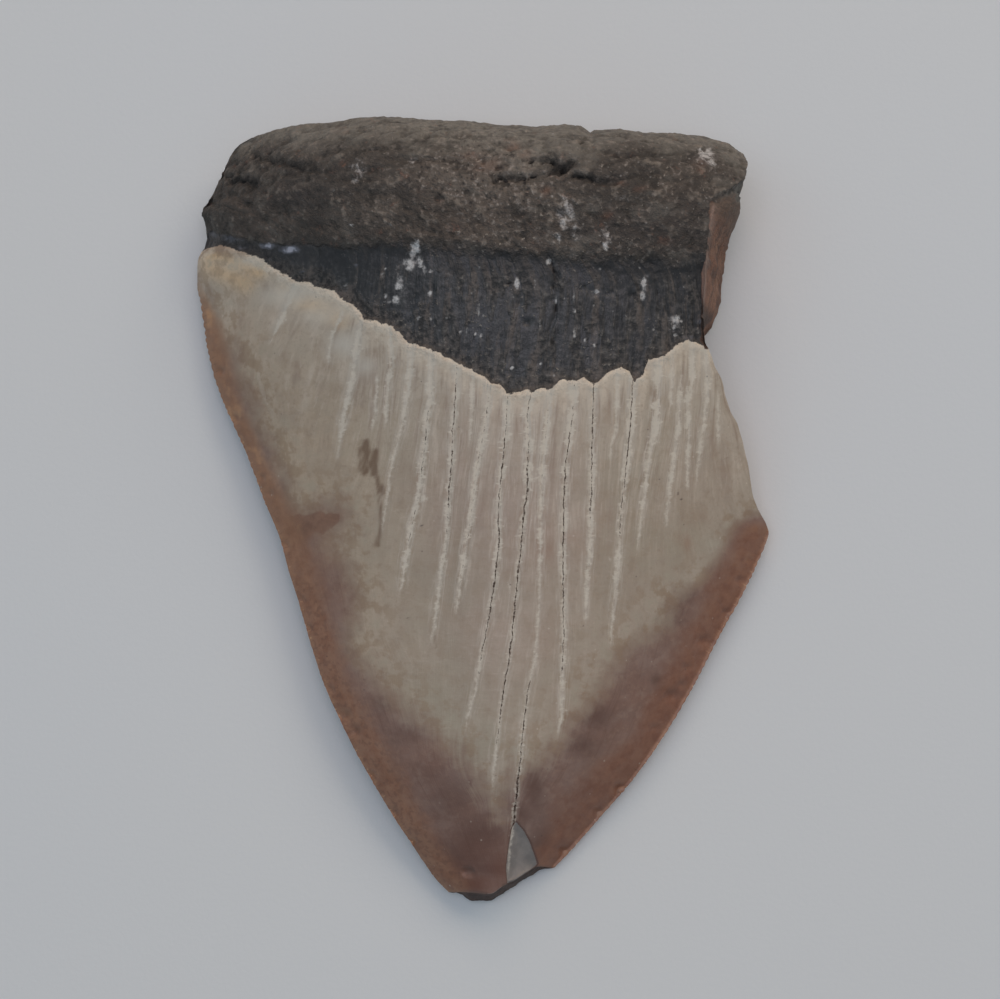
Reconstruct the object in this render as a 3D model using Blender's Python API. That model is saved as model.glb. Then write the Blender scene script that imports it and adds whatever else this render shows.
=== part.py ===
"""A broken megalodon tooth, lying on its flat labial face.

One natural solid: a thick porous root, the dark bourlette below it, and an enamel crown with two cutting edges.
The tip, the right shoulder and the right root lobe have broken off, and those fracture faces are part of the shape.

Frame: +X to the tooth's right seen on its convex lingual face, +Y from the tip to the root, +Z up out of the lingual
face. The labial face rests on Z = 0, and the origin is under the middle of the tooth's footprint.
Dimensions are in millimetres here and are turned into metres when the mesh is made.
"""

import math

import bmesh
import bpy

MM = 0.001

# ---- driving dimensions -------------------------------------------------------------------------------------------
ROOT_THICKNESS = 20.9      # highest point of the root's lingual swelling
CROWN_BASE_THICKNESS = 16.5  # at the point of the bourlette's chevron
TIP_THICKNESS = 5.6        # at the broken tip
EDGE_HEIGHT = 3.0          # the cutting edges stand this far above the resting plane
BEVEL_WIDTH = 9.0          # the labial face curves up to each cutting edge over this width
ROOT_RIM_HEIGHT = 9.0      # widest level of the root's end face
ROOT_END_ROUNDING = 7.0
ROOT_LEDGE_STEP = 0.45     # the root stands proud of the bourlette
ENAMEL_STEP = 0.35         # and so does the enamel's upper rim
SPALL_DEPTH = 0.9          # chip beside the broken tip

ROWS = 74                  # stations from the tip to the root
COLUMNS = 34               # points across the lingual face
PAD = (-13.0, -15.0, 15.0, 22.0)  # flat middle of the labial face: x0, y0, x1, y1
PAD_CENTRE = (1.0, 3.5)


def curve(points):
    """A smooth monotone curve (piecewise cubic) through (position, value) pairs."""
    points = sorted(points)
    xs = [float(p[0]) for p in points]
    ys = [float(p[1]) for p in points]
    steps = [b - a for a, b in zip(xs, xs[1:])]
    rates = [(b - a) / h for a, b, h in zip(ys, ys[1:], steps)]
    slopes = [rates[0]]
    for i in range(1, len(rates)):
        before, after = rates[i - 1], rates[i]
        if before * after <= 0:
            slopes.append(0.0)
        else:
            w1 = 2 * steps[i] + steps[i - 1]
            w2 = steps[i] + 2 * steps[i - 1]
            slopes.append((w1 + w2) / (w1 / before + w2 / after))
    slopes.append(rates[-1])

    def value(x):
        x = min(max(x, xs[0]), xs[-1])
        i = 0
        while i < len(steps) - 1 and x > xs[i + 1]:
            i += 1
        h = steps[i]
        t = (x - xs[i]) / h
        return (
            (1 + 2 * t) * (1 - t) ** 2 * ys[i]
            + t * (1 - t) ** 2 * h * slopes[i]
            + t * t * (3 - 2 * t) * ys[i + 1]
            + t * t * (t - 1) * h * slopes[i + 1]
        )

    return value


def ease(a, b, x):
    t = min(max((x - a) / (b - a), 0.0), 1.0)
    return t * t * (3 - 2 * t)


def mix(a, b, t):
    return a + (b - a) * t


# ---- outline, seen from above (y, x) ------------------------------------------------------------------------------
# left side: cutting edge from the broken tip up to the shoulder, then the worn root lobe
left_x = curve([
    (-44.5, -3.3), (-43.1, -4.7), (-40.7, -6.4), (-38.0, -8.2), (-34.3, -10.7), (-29.4, -13.8), (-24.0, -16.7),
    (-20.3, -18.4), (-15.4, -20.0), (-11.1, -21.2), (-7.4, -22.3), (-3.4, -23.3), (0.2, -24.7), (4.0, -26.1),
    (7.8, -27.7), (11.7, -29.6), (15.8, -31.4), (20.4, -32.8), (24.6, -33.6), (27.1, -34.1), (29.4, -33.9),
    (31.2, -33.0), (33.2, -32.4), (34.9, -32.8), (36.7, -31.7), (38.7, -30.9), (40.7, -29.9), (42.4, -28.7),
    (43.3, -27.0),
])
# right side: cutting edge, corner, broken shoulder, then the upper edge of the root's fracture face
right_x = curve([
    (-41.7, 8.1), (-39.6, 10.1), (-36.2, 13.1), (-31.4, 17.3), (-26.1, 21.1), (-21.0, 24.2), (-15.0, 27.4),
    (-10.8, 29.8), (-6.7, 31.9), (-4.1, 33.1), (-2.8, 33.5), (-1.9, 33.2), (-1.0, 32.6), (0.1, 32.0), (1.4, 31.5),
    (3.3, 31.2), (6.6, 30.4), (9.1, 29.6), (10.4, 28.8), (12.2, 28.1), (13.8, 27.6), (15.2, 26.7), (17.0, 26.0),
    (18.5, 25.6), (20.0, 25.5), (21.8, 25.5), (23.9, 25.6), (26.1, 25.6), (28.2, 25.7), (30.5, 26.3), (31.8, 26.7),
    (32.6, 27.9), (33.4, 29.2), (35.0, 30.2), (36.8, 30.7), (38.5, 31.1), (39.5, 31.0), (40.4, 30.6),
])
# where the right edge would run had the shoulder not broken, which sets how the lingual face falls away there
right_whole_x = curve([
    (-41.7, 8.1), (-36.2, 13.1), (-31.4, 17.3), (-26.1, 21.1), (-21.0, 24.2), (-15.0, 27.4), (-10.8, 29.8),
    (-6.7, 31.9), (-2.8, 33.6), (5.0, 37.0), (15.0, 41.0), (25.0, 43.0), (35.0, 42.0), (46.0, 38.0),
])
# outermost line of the fracture face beside the root
fracture_x = curve([
    (17.5, 25.7), (19.0, 26.0), (20.4, 26.3), (21.8, 26.9), (23.5, 27.7), (24.9, 28.3), (26.4, 28.6), (28.4, 28.8),
    (29.8, 29.0), (31.3, 29.4), (32.7, 29.9), (34.3, 30.3), (35.6, 30.4), (37.0, 30.6), (40.4, 30.2),
])
# root end (x, y) and the enamel lip of the broken tip (x, y)
root_end_y = curve([
    (-27.0, 43.3), (-24.6, 44.0), (-21.0, 44.7), (-16.3, 45.1), (-11.0, 45.5), (-6.9, 45.1), (-2.2, 44.7),
    (2.5, 44.2), (6.5, 43.9), (10.0, 44.1), (12.3, 43.8), (12.9, 43.3), (13.6, 43.5), (18.8, 43.3), (24.6, 42.8),
    (28.3, 41.8), (30.6, 40.4),
])
tip_lip_y = curve([
    (-3.3, -44.5), (-1.3, -44.3), (1.1, -44.5), (2.8, -43.5), (3.9, -43.1), (5.5, -42.1), (6.6, -41.5), (8.1, -41.7),
])
tip_low_y = curve([
    (-3.3, -44.6), (-2.2, -45.1), (-1.2, -45.5), (0.8, -45.5), (2.8, -44.4), (5.2, -43.0), (6.7, -42.2), (8.1, -41.8),
])

# ---- heights along the tooth (y, value) ---------------------------------------------------------------------------
crest_z = curve([
    (-45.5, TIP_THICKNESS - 0.2), (-40, 6.6), (-30, 8.6), (-20, 10.3), (-10, 12.0), (0, 13.8), (8, 15.4),
    (13, CROWN_BASE_THICKNESS), (20, 18.3), (28, 20.2), (34, ROOT_THICKNESS), (39, 20.2), (43, 18.4), (46, 16.6),
])
edge_z = curve([
    (-46, EDGE_HEIGHT), (-20, EDGE_HEIGHT), (0, EDGE_HEIGHT), (15, EDGE_HEIGHT + 0.1), (25, 3.6), (30, 4.8),
    (35, 6.5), (40, 8.0), (46, 9.5),
])
crest_x = curve([(-46, 1.2), (-38, 1.6), (-21, 3.0), (-3, 4.8), (10, 5.0), (30, 3.0), (46, 1.0)])
fullness = curve([(-46, 1.9), (0, 2.0), (15, 2.15), (25, 2.5), (35, 3.0), (46, 3.0)])

# enamel's upper rim, a chevron (x, y), and the root's lower margin above the bourlette
rim_y = curve([
    (-32.0, 30.4), (-29.6, 30.0), (-25.3, 27.9), (-21.2, 25.0), (-17.7, 23.6), (-13.2, 21.0), (-9.7, 19.2),
    (-6.5, 17.1), (-2.4, 15.3), (0.3, 13.8), (2.9, 12.4), (5.0, 11.8), (8.3, 12.2), (12.3, 13.2), (16.6, 14.2),
    (19.2, 15.2), (22.6, 16.9), (26.1, 17.2),
])
root_margin_y = curve([
    (-32.0, 32.9), (-29.9, 31.9), (-26.1, 30.4), (-21.8, 29.3), (-15.3, 28.2), (-2.8, 27.4), (2.8, 26.9),
    (9.5, 26.2), (17.3, 26.1), (25.2, 26.3),
])


def lingual_z(x, y):
    """Height of the convex upper face."""
    middle = crest_x(y)
    half = middle - left_x(y) if x < middle else right_whole_x(y) - middle
    t = min(abs(x - middle) / half, 1.0)
    low = edge_z(y)
    dome = (1 - t ** fullness(y)) ** (1 - 0.3 * ease(22, 34, y))
    z = mix(low, crest_z(y), dome)
    # the root's end rounds over to its widest level
    depth = min(max(root_end_y(x) - y, 0.0) / ROOT_END_ROUNDING, 1.0)
    if z > ROOT_RIM_HEIGHT:
        z = mix(ROOT_RIM_HEIGHT, z, math.sqrt(max(1 - (1 - depth) ** 2, 0.0)))
    # the bourlette lies a little below the enamel's rim and below the root
    inside = ease(0.0, 1.3, y - rim_y(x)) * (1 - ease(-0.9, 0.9, y - root_margin_y(x)))
    z -= ENAMEL_STEP * inside
    z += (ROOT_LEDGE_STEP - ENAMEL_STEP) * ease(-0.9, 0.9, y - root_margin_y(x)) * (1 - ease(38, 43, y))
    # chip in the enamel beside the broken tip
    z -= SPALL_DEPTH * ease(1.7, 2.6, x) * (1 - ease(-38.5, -36.0, y)) * (1 - ease(5.6, 7.2, x)) * ease(-43.6, -42.4, y)
    return z


def row_ends(v):
    """Left and right y of station v, which tilts from the broken tip to the root's end."""
    return mix(-44.5, 43.3, v), mix(-41.7, 40.4, v)


def lingual_point(u, v):
    yl, yr = row_ends(v)
    x = mix(left_x(yl), right_x(yr), u)
    y = mix(yl, yr, u)
    y += ease(0.72, 1.0, v) * (root_end_y(x) - mix(43.3, 40.4, u))
    y += (1 - ease(0.0, 0.08, v)) * (tip_lip_y(x) - mix(-44.5, -41.7, u))
    return x, y, lingual_z(x, y)


def bevel_width(y):
    return min(BEVEL_WIDTH, 0.36 * (right_whole_x(y) - left_x(y)))


def left_levels(y, z_top):
    """Offsets in x and heights of the three lines below the left edge."""
    w = bevel_width(y)
    root = ease(26, 34, y)
    out = []
    for f, dx, z in ((0.18, 0.4, 3.4), (0.5, 1.4, 1.0), (1.0, 3.5, 0.0)):
        out.append((mix(f * w, dx, root), mix(EDGE_HEIGHT * (1 - f) ** 1.6, z, root)))
    return out


def right_levels(x, y, z_top):
    """The same on the right: bevelled cutting edge, broken shoulder, sloping fracture face, root corner."""
    w = bevel_width(y)
    broken = ease(-4.5, -1.0, y)
    strip = ease(16.5, 22.0, y) * (1 - ease(33.0, 36.0, y))
    corner = ease(33.0, 36.0, y)
    out = []
    outer = fracture_x(y) - x
    shapes = (
        (0.18, (-0.25, 0.55 * z_top), (outer, 4.4), (-0.3, 5.5)),
        (0.5, (-0.6, 0.18 * z_top), (outer - 0.5, 1.4), (-1.0, 1.7)),
        (1.0, (-1.3, 0.0), (outer - 1.9, 0.0), (-2.8, 0.0)),
    )
    for f, wall, face, knob in shapes:
        dx, z = mix(-f * w, wall[0], broken), mix(EDGE_HEIGHT * (1 - f) ** 1.6, wall[1], broken)
        dx, z = mix(dx, face[0], strip), mix(z, face[1], strip)
        out.append((mix(dx, knob[0], corner), mix(z, knob[1], corner)))
    return out


def root_end_levels():
    return ((-0.5, 4.6), (-1.3, 1.4), (-3.0, 0.0))


def tip_end_levels(x):
    low = tip_low_y(x) - tip_lip_y(x)
    return ((low, 2.3), (low + 0.5, 0.8), (low + 1.6, 0.0))


def build_tooth():
    bm = bmesh.new()

    def vert(x, y, z):
        return bm.verts.new((x, y, z))

    top = [[vert(*lingual_point(i / COLUMNS, j / ROWS)) for i in range(COLUMNS + 1)] for j in range(ROWS + 1)]

    # side lines: level 0 is the lingual face's own boundary, level 3 lies on the resting plane
    left = [[top[j][0] for j in range(ROWS + 1)]]
    right = [[top[j][COLUMNS] for j in range(ROWS + 1)]]
    for k in range(3):
        left.append([])
        right.append([])
        for j in range(ROWS + 1):
            v = j / ROWS
            root_pull, tip_pull = ease(0.93, 1.0, v), 1 - ease(0.0, 0.05, v)
            for side, levels in ((left, left_levels), (right, right_levels)):
                x, y, z = side[0][j].co
                dx, dz = levels(y, z) [k] if side is left else levels(x, y, z)[k]
                dy = root_pull * root_end_levels()[k][0] + tip_pull * tip_end_levels(x)[k][0]
                side[k + 1].append(vert(x + dx, y + dy, dz))
    root_end, tip_end = [top[ROWS]], [top[0]]
    for k in range(3):
        for ends, j, pull in ((root_end, ROWS, None), (tip_end, 0, None)):
            line = [left[k + 1][j]]
            for i in range(1, COLUMNS):
                u = i / COLUMNS
                x, y, z = top[j][i].co
                near_l, near_r = 1 - ease(0.0, 0.22, u), ease(0.78, 1.0, u)
                dy, level = root_end_levels()[k] if j else tip_end_levels(x)[k]
                xl, xr = left[k + 1][j].co.x - top[j][0].co.x, right[k + 1][j].co.x - top[j][COLUMNS].co.x
                zl, zr = left[k + 1][j].co.z, right[k + 1][j].co.z
                z_here = mix(mix(level, zl, near_l), zr, near_r)
                line.append(vert(x + near_l * xl + near_r * xr, y + dy, z_here))
            line.append(right[k + 1][j])
            ends.append(line)

    def quads(a, b, flip=False):
        """Faces between two lines of equal length."""
        for i in range(len(a) - 1):
            loop = [a[i], a[i + 1], b[i + 1], b[i]]
            bm.faces.new(loop[::-1] if flip else loop)

    for j in range(ROWS):
        quads(top[j], top[j + 1])
    for k in range(3):
        quads(left[k + 1], left[k], flip=True)
        quads(right[k], right[k + 1], flip=True)
        quads(root_end[k + 1], root_end[k], flip=True)
        quads(tip_end[k], tip_end[k + 1], flip=True)

    # labial face: rings that close in from the outline to one flat rectangular pad
    outer = left[3] + root_end[3][1:] + right[3][::-1][1:] + tip_end[3][::-1][1:-1]
    cx, cy = PAD_CENTRE
    x0, y0, x1, y1 = PAD

    def angle(v):
        return math.atan2(v.co.y - cy, v.co.x - cx)

    def pad_reach(a):
        """Distance from the pad's centre to its outline in direction a."""
        c, s = math.cos(a), math.sin(a)
        rx = ((x1 if c > 0 else x0) - cx) / c if abs(c) > 1e-9 else 1e9
        ry = ((y1 if s > 0 else y0) - cy) / s if abs(s) > 1e-9 else 1e9
        return min(rx, ry)

    def turned(loop):
        """The loop anticlockwise, from its vertex nearest angle -pi, with a steadily growing angle for each."""
        start = min(range(len(loop)), key=lambda n: angle(loop[n]))
        loop = loop[start:] + loop[:start]
        turns = []
        for vertex in loop:
            turns.append(max(angle(vertex), turns[-1] if turns else -math.pi))
        return loop, turns

    def ring(count, share):
        """A coarser loop, share of the way from the pad to the outline."""
        made = []
        for n in range(count):
            at = outer[round(n * len(outer) / count) % len(outer)]
            a = angle(at)
            r = mix(pad_reach(a), math.hypot(at.co.x - cx, at.co.y - cy), share)
            made.append(vert(cx + r * math.cos(a), cy + r * math.sin(a), 0.0))
        return made

    def stitch(a, b):
        """Triangles between two anticlockwise loops around the pad's centre, in order of angle."""
        a, turns_a = turned(a)
        b, turns_b = turned(b)
        turns_a.append(turns_a[0] + 2 * math.pi)
        turns_b.append(turns_b[0] + 2 * math.pi)
        i = j = 0
        while i < len(a) or j < len(b):
            a0, b0 = a[i % len(a)], b[j % len(b)]
            if j >= len(b) or (i < len(a) and turns_a[i + 1] <= turns_b[j + 1]):
                bm.faces.new((a0, b0, a[(i + 1) % len(a)]))
                i += 1
            else:
                bm.faces.new((a0, b0, b[(j + 1) % len(b)]))
                j += 1

    outer = outer[::-1]
    ring_a = ring(72, 0.62)
    ring_b = ring(28, 0.25)
    pad = [vert(x, y, 0.0) for x, y in ((x0, y0), (x1, y0), (x1, y1), (x0, y1))]
    stitch(outer, ring_a)
    stitch(ring_a, ring_b)
    stitch(ring_b, pad)
    bm.faces.new(pad[::-1])

    # origin under the middle of the footprint, and millimetres to metres
    xs = [v.co.x for v in bm.verts]
    ys = [v.co.y for v in bm.verts]
    mx, my = (min(xs) + max(xs)) / 2, (min(ys) + max(ys)) / 2
    for v in bm.verts:
        v.co = ((v.co.x - mx) * MM, (v.co.y - my) * MM, v.co.z * MM)
    bmesh.ops.recalc_face_normals(bm, faces=bm.faces)
    print(f"footprint centre before centring: {mx:.3f}, {my:.3f} mm")

    mesh = bpy.data.meshes.new("tooth")
    bm.to_mesh(mesh)
    bm.free()
    tooth = bpy.data.objects.new("tooth", mesh)
    bpy.context.scene.collection.objects.link(tooth)
    mesh.shade_smooth()
    mesh.set_sharp_from_angle(angle=math.radians(40))

    material = bpy.data.materials.new("fossil_tooth")
    material.use_nodes = True
    shader = next(n for n in material.node_tree.nodes if n.type == "BSDF_PRINCIPLED")
    shader.inputs["Base Color"].default_value = (0.235, 0.19, 0.16, 1.0)
    shader.inputs["Roughness"].default_value = 0.5
    shader.inputs["Metallic"].default_value = 0.0
    material.diffuse_color = (0.235, 0.19, 0.16, 1.0)
    mesh.materials.append(material)
    return tooth


for old in list(bpy.data.objects):
    bpy.data.objects.remove(old, do_unlink=True)

build_tooth()
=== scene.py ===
"""Looks for the megalodon tooth: one fine mesh of the whole fossil, its finish, a pale floor, soft light, a camera.

Units: the shape is worked out in millimetres, in the tooth's own raw frame (+X right, +Y towards the root, +Z up out
of the lingual face), and moved by SHIFT and into metres when the mesh is made. Marks on the lingual face (veins,
cracks, stains, pits) are placed by where they are in the photograph's 1000 x 999 frame: each vertex is looked up in
that frame through the scene's own camera, once, while the mesh is made. The materials read only mesh attributes and
object coordinates.
"""

import math

import bpy
import numpy as np
from mathutils import Matrix, Vector


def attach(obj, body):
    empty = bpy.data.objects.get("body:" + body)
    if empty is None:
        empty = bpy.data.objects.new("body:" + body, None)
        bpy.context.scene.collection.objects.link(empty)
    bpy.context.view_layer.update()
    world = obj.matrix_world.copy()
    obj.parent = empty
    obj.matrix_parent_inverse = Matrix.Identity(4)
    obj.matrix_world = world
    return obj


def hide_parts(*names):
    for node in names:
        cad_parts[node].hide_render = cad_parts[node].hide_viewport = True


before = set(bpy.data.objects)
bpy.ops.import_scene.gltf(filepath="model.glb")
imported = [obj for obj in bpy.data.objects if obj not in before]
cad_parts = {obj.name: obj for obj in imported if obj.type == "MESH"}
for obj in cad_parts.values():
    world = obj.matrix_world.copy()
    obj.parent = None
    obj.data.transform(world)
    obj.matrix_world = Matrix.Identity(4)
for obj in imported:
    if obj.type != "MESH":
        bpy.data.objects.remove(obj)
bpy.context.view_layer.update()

MM = 0.001
SHIFT = np.array([0.288, 0.007, 0.0])  # raw frame to the part's frame, mm

# ---------------------------------------------------------------------------------------------------------------
# camera numbers, used twice: for the scene's camera and to look the marks up
# ---------------------------------------------------------------------------------------------------------------
PHOTO_W, PHOTO_H = 1000, 999
CAM_DISTANCE = 260.0   # mm
CAM_ELEVATION = 83.0   # degrees above the floor
CAM_AZIMUTH = 15.0     # degrees, towards the broken side
PX_PER_MM = 8.5        # at the aim
AIM = np.array([2.235, 1.118, 3.0])


def camera_axes():
    a, e = math.radians(CAM_AZIMUTH), math.radians(CAM_ELEVATION)
    back = np.array([math.sin(a) * math.cos(e), -math.cos(a) * math.cos(e), math.sin(e)])
    right = np.cross([0.0, 1.0, 0.0], back)
    right /= np.linalg.norm(right)
    up = np.cross(back, right)
    return AIM + back * CAM_DISTANCE, right, up, back


CAM_POS, CAM_RIGHT, CAM_UP, CAM_BACK = camera_axes()
FOCAL_PX = PX_PER_MM * CAM_DISTANCE


def to_photo(p):
    """Raw mm points (N, 3) to the photograph's pixels."""
    v = p - CAM_POS
    depth = -(v @ CAM_BACK)
    return PHOTO_W / 2 + FOCAL_PX * (v @ CAM_RIGHT) / depth, PHOTO_H / 2 - FOCAL_PX * (v @ CAM_UP) / depth


def on_height(px, py, z):
    """Where a pixel's ray meets height z."""
    d = (px - PHOTO_W / 2) * CAM_RIGHT - (py - PHOTO_H / 2) * CAM_UP - FOCAL_PX * CAM_BACK
    t = (z - CAM_POS[2]) / d[2]
    p = CAM_POS + t * d
    return p[0], p[1]


def on_tooth(px, py):
    """Where a pixel's ray meets the lingual face, raw mm."""
    z = 10.0
    for _ in range(14):
        x, y = on_height(px, py, z)
        z = float(lingual_base(np.array([x]), np.array([y]))[0])
    return x, y


# ---------------------------------------------------------------------------------------------------------------
# small maths
# ---------------------------------------------------------------------------------------------------------------
def curve(points):
    """A smooth monotone curve through (position, value) pairs, for arrays."""
    pts = sorted((float(a), float(b)) for a, b in points)
    xs = np.array([p[0] for p in pts])
    ys = np.array([p[1] for p in pts])
    h = np.diff(xs)
    d = np.diff(ys) / h
    m = np.zeros_like(ys)
    m[0], m[-1] = d[0], d[-1]
    for i in range(1, len(xs) - 1):
        if d[i - 1] * d[i] > 0:
            w1, w2 = 2 * h[i] + h[i - 1], h[i] + 2 * h[i - 1]
            m[i] = (w1 + w2) / (w1 / d[i - 1] + w2 / d[i])

    def value(x):
        x = np.clip(np.asarray(x, float), xs[0], xs[-1])
        i = np.clip(np.searchsorted(xs, x, side="right") - 1, 0, len(h) - 1)
        t = (x - xs[i]) / h[i]
        return (
            (1 + 2 * t) * (1 - t) ** 2 * ys[i]
            + t * (1 - t) ** 2 * h[i] * m[i]
            + t * t * (3 - 2 * t) * ys[i + 1]
            + t * t * (t - 1) * h[i] * m[i + 1]
        )

    return value


def ease(a, b, x):
    t = np.clip((np.asarray(x, float) - a) / (b - a), 0.0, 1.0)
    return t * t * (3 - 2 * t)


def mix(a, b, t):
    return a + (b - a) * t


def _hash(ix, iy, iz, seed):
    h = (ix.astype(np.int64) * 374761393 + iy.astype(np.int64) * 668265263 + iz.astype(np.int64) * 2147483647
         + np.int64(seed) * 1274126177) & 0xFFFFFFFF
    h = ((h ^ (h >> 13)) * 1274126177) & 0xFFFFFFFF
    h = (h ^ (h >> 16)) & 0xFFFFFFFF
    h = (h * 2246822519) & 0xFFFFFFFF
    return (h ^ (h >> 15)) & 0xFFFFFFFF


GRADIENTS = np.array([
    (1, 1, 0), (-1, 1, 0), (1, -1, 0), (-1, -1, 0), (1, 0, 1), (-1, 0, 1), (1, 0, -1), (-1, 0, -1),
    (0, 1, 1), (0, -1, 1), (0, 1, -1), (0, -1, -1), (1, 1, 0), (-1, 1, 0), (0, -1, 1), (0, -1, -1)], float)


def noise(p, seed=0):
    """Gradient noise, about -1 to 1, for points (N, 3)."""
    i = np.floor(p).astype(np.int64)
    f = p - i
    w = f * f * f * (f * (f * 6 - 15) + 10)
    total = np.zeros(len(p))
    for dx in (0, 1):
        wx = w[:, 0] if dx else 1 - w[:, 0]
        for dy in (0, 1):
            wy = w[:, 1] if dy else 1 - w[:, 1]
            for dz in (0, 1):
                wz = w[:, 2] if dz else 1 - w[:, 2]
                g = GRADIENTS[_hash(i[:, 0] + dx, i[:, 1] + dy, i[:, 2] + dz, seed) & 15]
                total += wx * wy * wz * ((f - (dx, dy, dz)) * g).sum(1)
    return total


def fbm(p, size, octaves=4, gain=0.5, seed=0):
    """Layered noise whose largest features are about size mm (or a size per axis)."""
    q = p / np.asarray(size, float)
    total, amp, norm = np.zeros(len(p)), 1.0, 0.0
    for k in range(octaves):
        total += amp * noise(q * 2.0**k + 17.3 * k, seed + 31 * k)
        norm += amp
        amp *= gain
    return total / norm


def cells(p, size, seed=0):
    """Distance to the nearest of a jittered set of points, one per cell, in cells."""
    q = p / np.asarray(size, float)
    i = np.floor(q).astype(np.int64)
    best = np.full(len(p), 9.0)
    for dx in (-1, 0, 1):
        for dy in (-1, 0, 1):
            for dz in (-1, 0, 1):
                c = (i[:, 0] + dx, i[:, 1] + dy, i[:, 2] + dz)
                jx = _hash(*c, seed) / 4294967295.0
                jy = _hash(*c, seed + 7) / 4294967295.0
                jz = _hash(*c, seed + 13) / 4294967295.0
                d = (c[0] + jx - q[:, 0]) ** 2 + (c[1] + jy - q[:, 1]) ** 2 + (c[2] + jz - q[:, 2]) ** 2
                best = np.minimum(best, d)
    return np.sqrt(best)


def to_line(x, y, line):
    """Distance from points to a polyline, and how far along it (0 to its length)."""
    line = np.asarray(line, float)
    best = np.full(len(x), 1e9)
    along = np.zeros(len(x))
    run = 0.0
    for (ax, ay), (bx, by) in zip(line, line[1:]):
        ex, ey = bx - ax, by - ay
        length = math.hypot(ex, ey)
        t = np.clip(((x - ax) * ex + (y - ay) * ey) / max(length * length, 1e-12), 0, 1)
        d = np.hypot(x - ax - t * ex, y - ay - t * ey)
        near = d < best
        best = np.where(near, d, best)
        along = np.where(near, run + t * length, along)
        run += length
    return best, along


def inside(x, y, polygon):
    """Signed distance to a closed polygon, positive inside."""
    poly = np.asarray(polygon, float)
    d, _ = to_line(x, y, np.vstack([poly, poly[:1]]))
    odd = np.zeros(len(x), bool)
    for (ax, ay), (bx, by) in zip(poly, np.roll(poly, -1, axis=0)):
        cross = (ay > y) != (by > y)
        with np.errstate(divide="ignore", invalid="ignore"):
            xi = ax + (y - ay) / (by - ay) * (bx - ax)
        odd ^= cross & (x < xi)
    return np.where(odd, d, -d)


def spots(x, y, marks):
    """Soft spots: (x, y, rx, ry, strength) each."""
    total = np.zeros(len(x))
    for cx, cy, rx, ry, k in marks:
        d2 = ((x - cx) / rx) ** 2 + ((y - cy) / ry) ** 2
        total = np.maximum(total, k * np.exp(-d2 * 1.1))
    return total


def strokes(x, y, marks):
    """Soft strokes: (points, half width, strength) each."""
    total = np.zeros(len(x))
    for line, half, k in marks:
        d, _ = to_line(x, y, line)
        total = np.maximum(total, k * np.exp(-((d / half) ** 2)))
    return total


# ---------------------------------------------------------------------------------------------------------------
# the tooth's shape, as in the CAD solid (raw mm)
# ---------------------------------------------------------------------------------------------------------------
EDGE_HEIGHT = 3.0
BEVEL_WIDTH = 9.0
ROOT_RIM = 9.0
ROOT_END_ROUNDING = 7.0

left_x = curve([
    (-44.5, -3.3), (-43.1, -4.7), (-40.7, -6.4), (-38.0, -8.2), (-34.3, -10.7), (-29.4, -13.8), (-24.0, -16.7),
    (-20.3, -18.4), (-15.4, -20.0), (-11.1, -21.2), (-7.4, -22.3), (-3.4, -23.3), (0.2, -24.7), (4.0, -26.1),
    (7.8, -27.7), (11.7, -29.6), (15.8, -31.4), (20.4, -32.8), (24.6, -33.6), (27.1, -34.1), (29.4, -33.9),
    (31.2, -33.0), (33.2, -32.4), (34.9, -32.8), (36.7, -31.7), (38.7, -30.9), (40.7, -29.9), (42.4, -28.7),
    (43.3, -27.0)])
right_x = curve([
    (-41.7, 8.1), (-39.6, 10.1), (-36.2, 13.1), (-31.4, 17.3), (-26.1, 21.1), (-21.0, 24.2), (-15.0, 27.4),
    (-10.8, 29.8), (-6.7, 31.9), (-4.1, 33.1), (-2.8, 33.5), (-1.9, 33.2), (-1.0, 32.6), (0.1, 32.0), (1.4, 31.5),
    (3.3, 31.2), (6.6, 30.4), (9.1, 29.6), (10.4, 28.8), (12.2, 28.1), (13.8, 27.6), (15.2, 26.7), (17.0, 26.0),
    (18.5, 25.6), (20.0, 25.5), (21.8, 25.5), (23.9, 25.6), (26.1, 25.6), (28.2, 25.7), (30.5, 26.3), (31.8, 26.7),
    (32.6, 27.9), (33.4, 29.2), (35.0, 30.2), (36.8, 30.7), (38.5, 31.1), (39.5, 31.0), (40.4, 30.6)])
left_trim = curve([(-46, -0.45), (-38, -0.45), (-30, -0.1), (-20, 0.1), (-12, 0.0), (-4, -0.25), (4, -0.55), (11, -0.55), (16, -0.3),
                   (22, 0.0), (28, 0.1), (30, 0.0), (33.5, -0.3), (35.5, -0.4), (38, -0.1), (41, 0.0), (44, 0.0)])
right_trim = curve([(-46, 0.35), (-36, 0.5), (-20, 0.45), (-8, 0.4), (0, 0.15), (10, 0.1), (16, 0.3), (22, 0.25), (26, 0.3),
                    (30.6, 0.5), (32.6, -0.4), (33.6, -0.6), (35, -0.3), (36, 0.05), (37.5, 0.0), (39.5, -0.2), (41, 0.1)])
left_read, right_read = left_x, right_x


def left_x(y):
    return left_read(y) + left_trim(y)


def right_x(y):
    return right_read(y) + right_trim(y)


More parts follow.
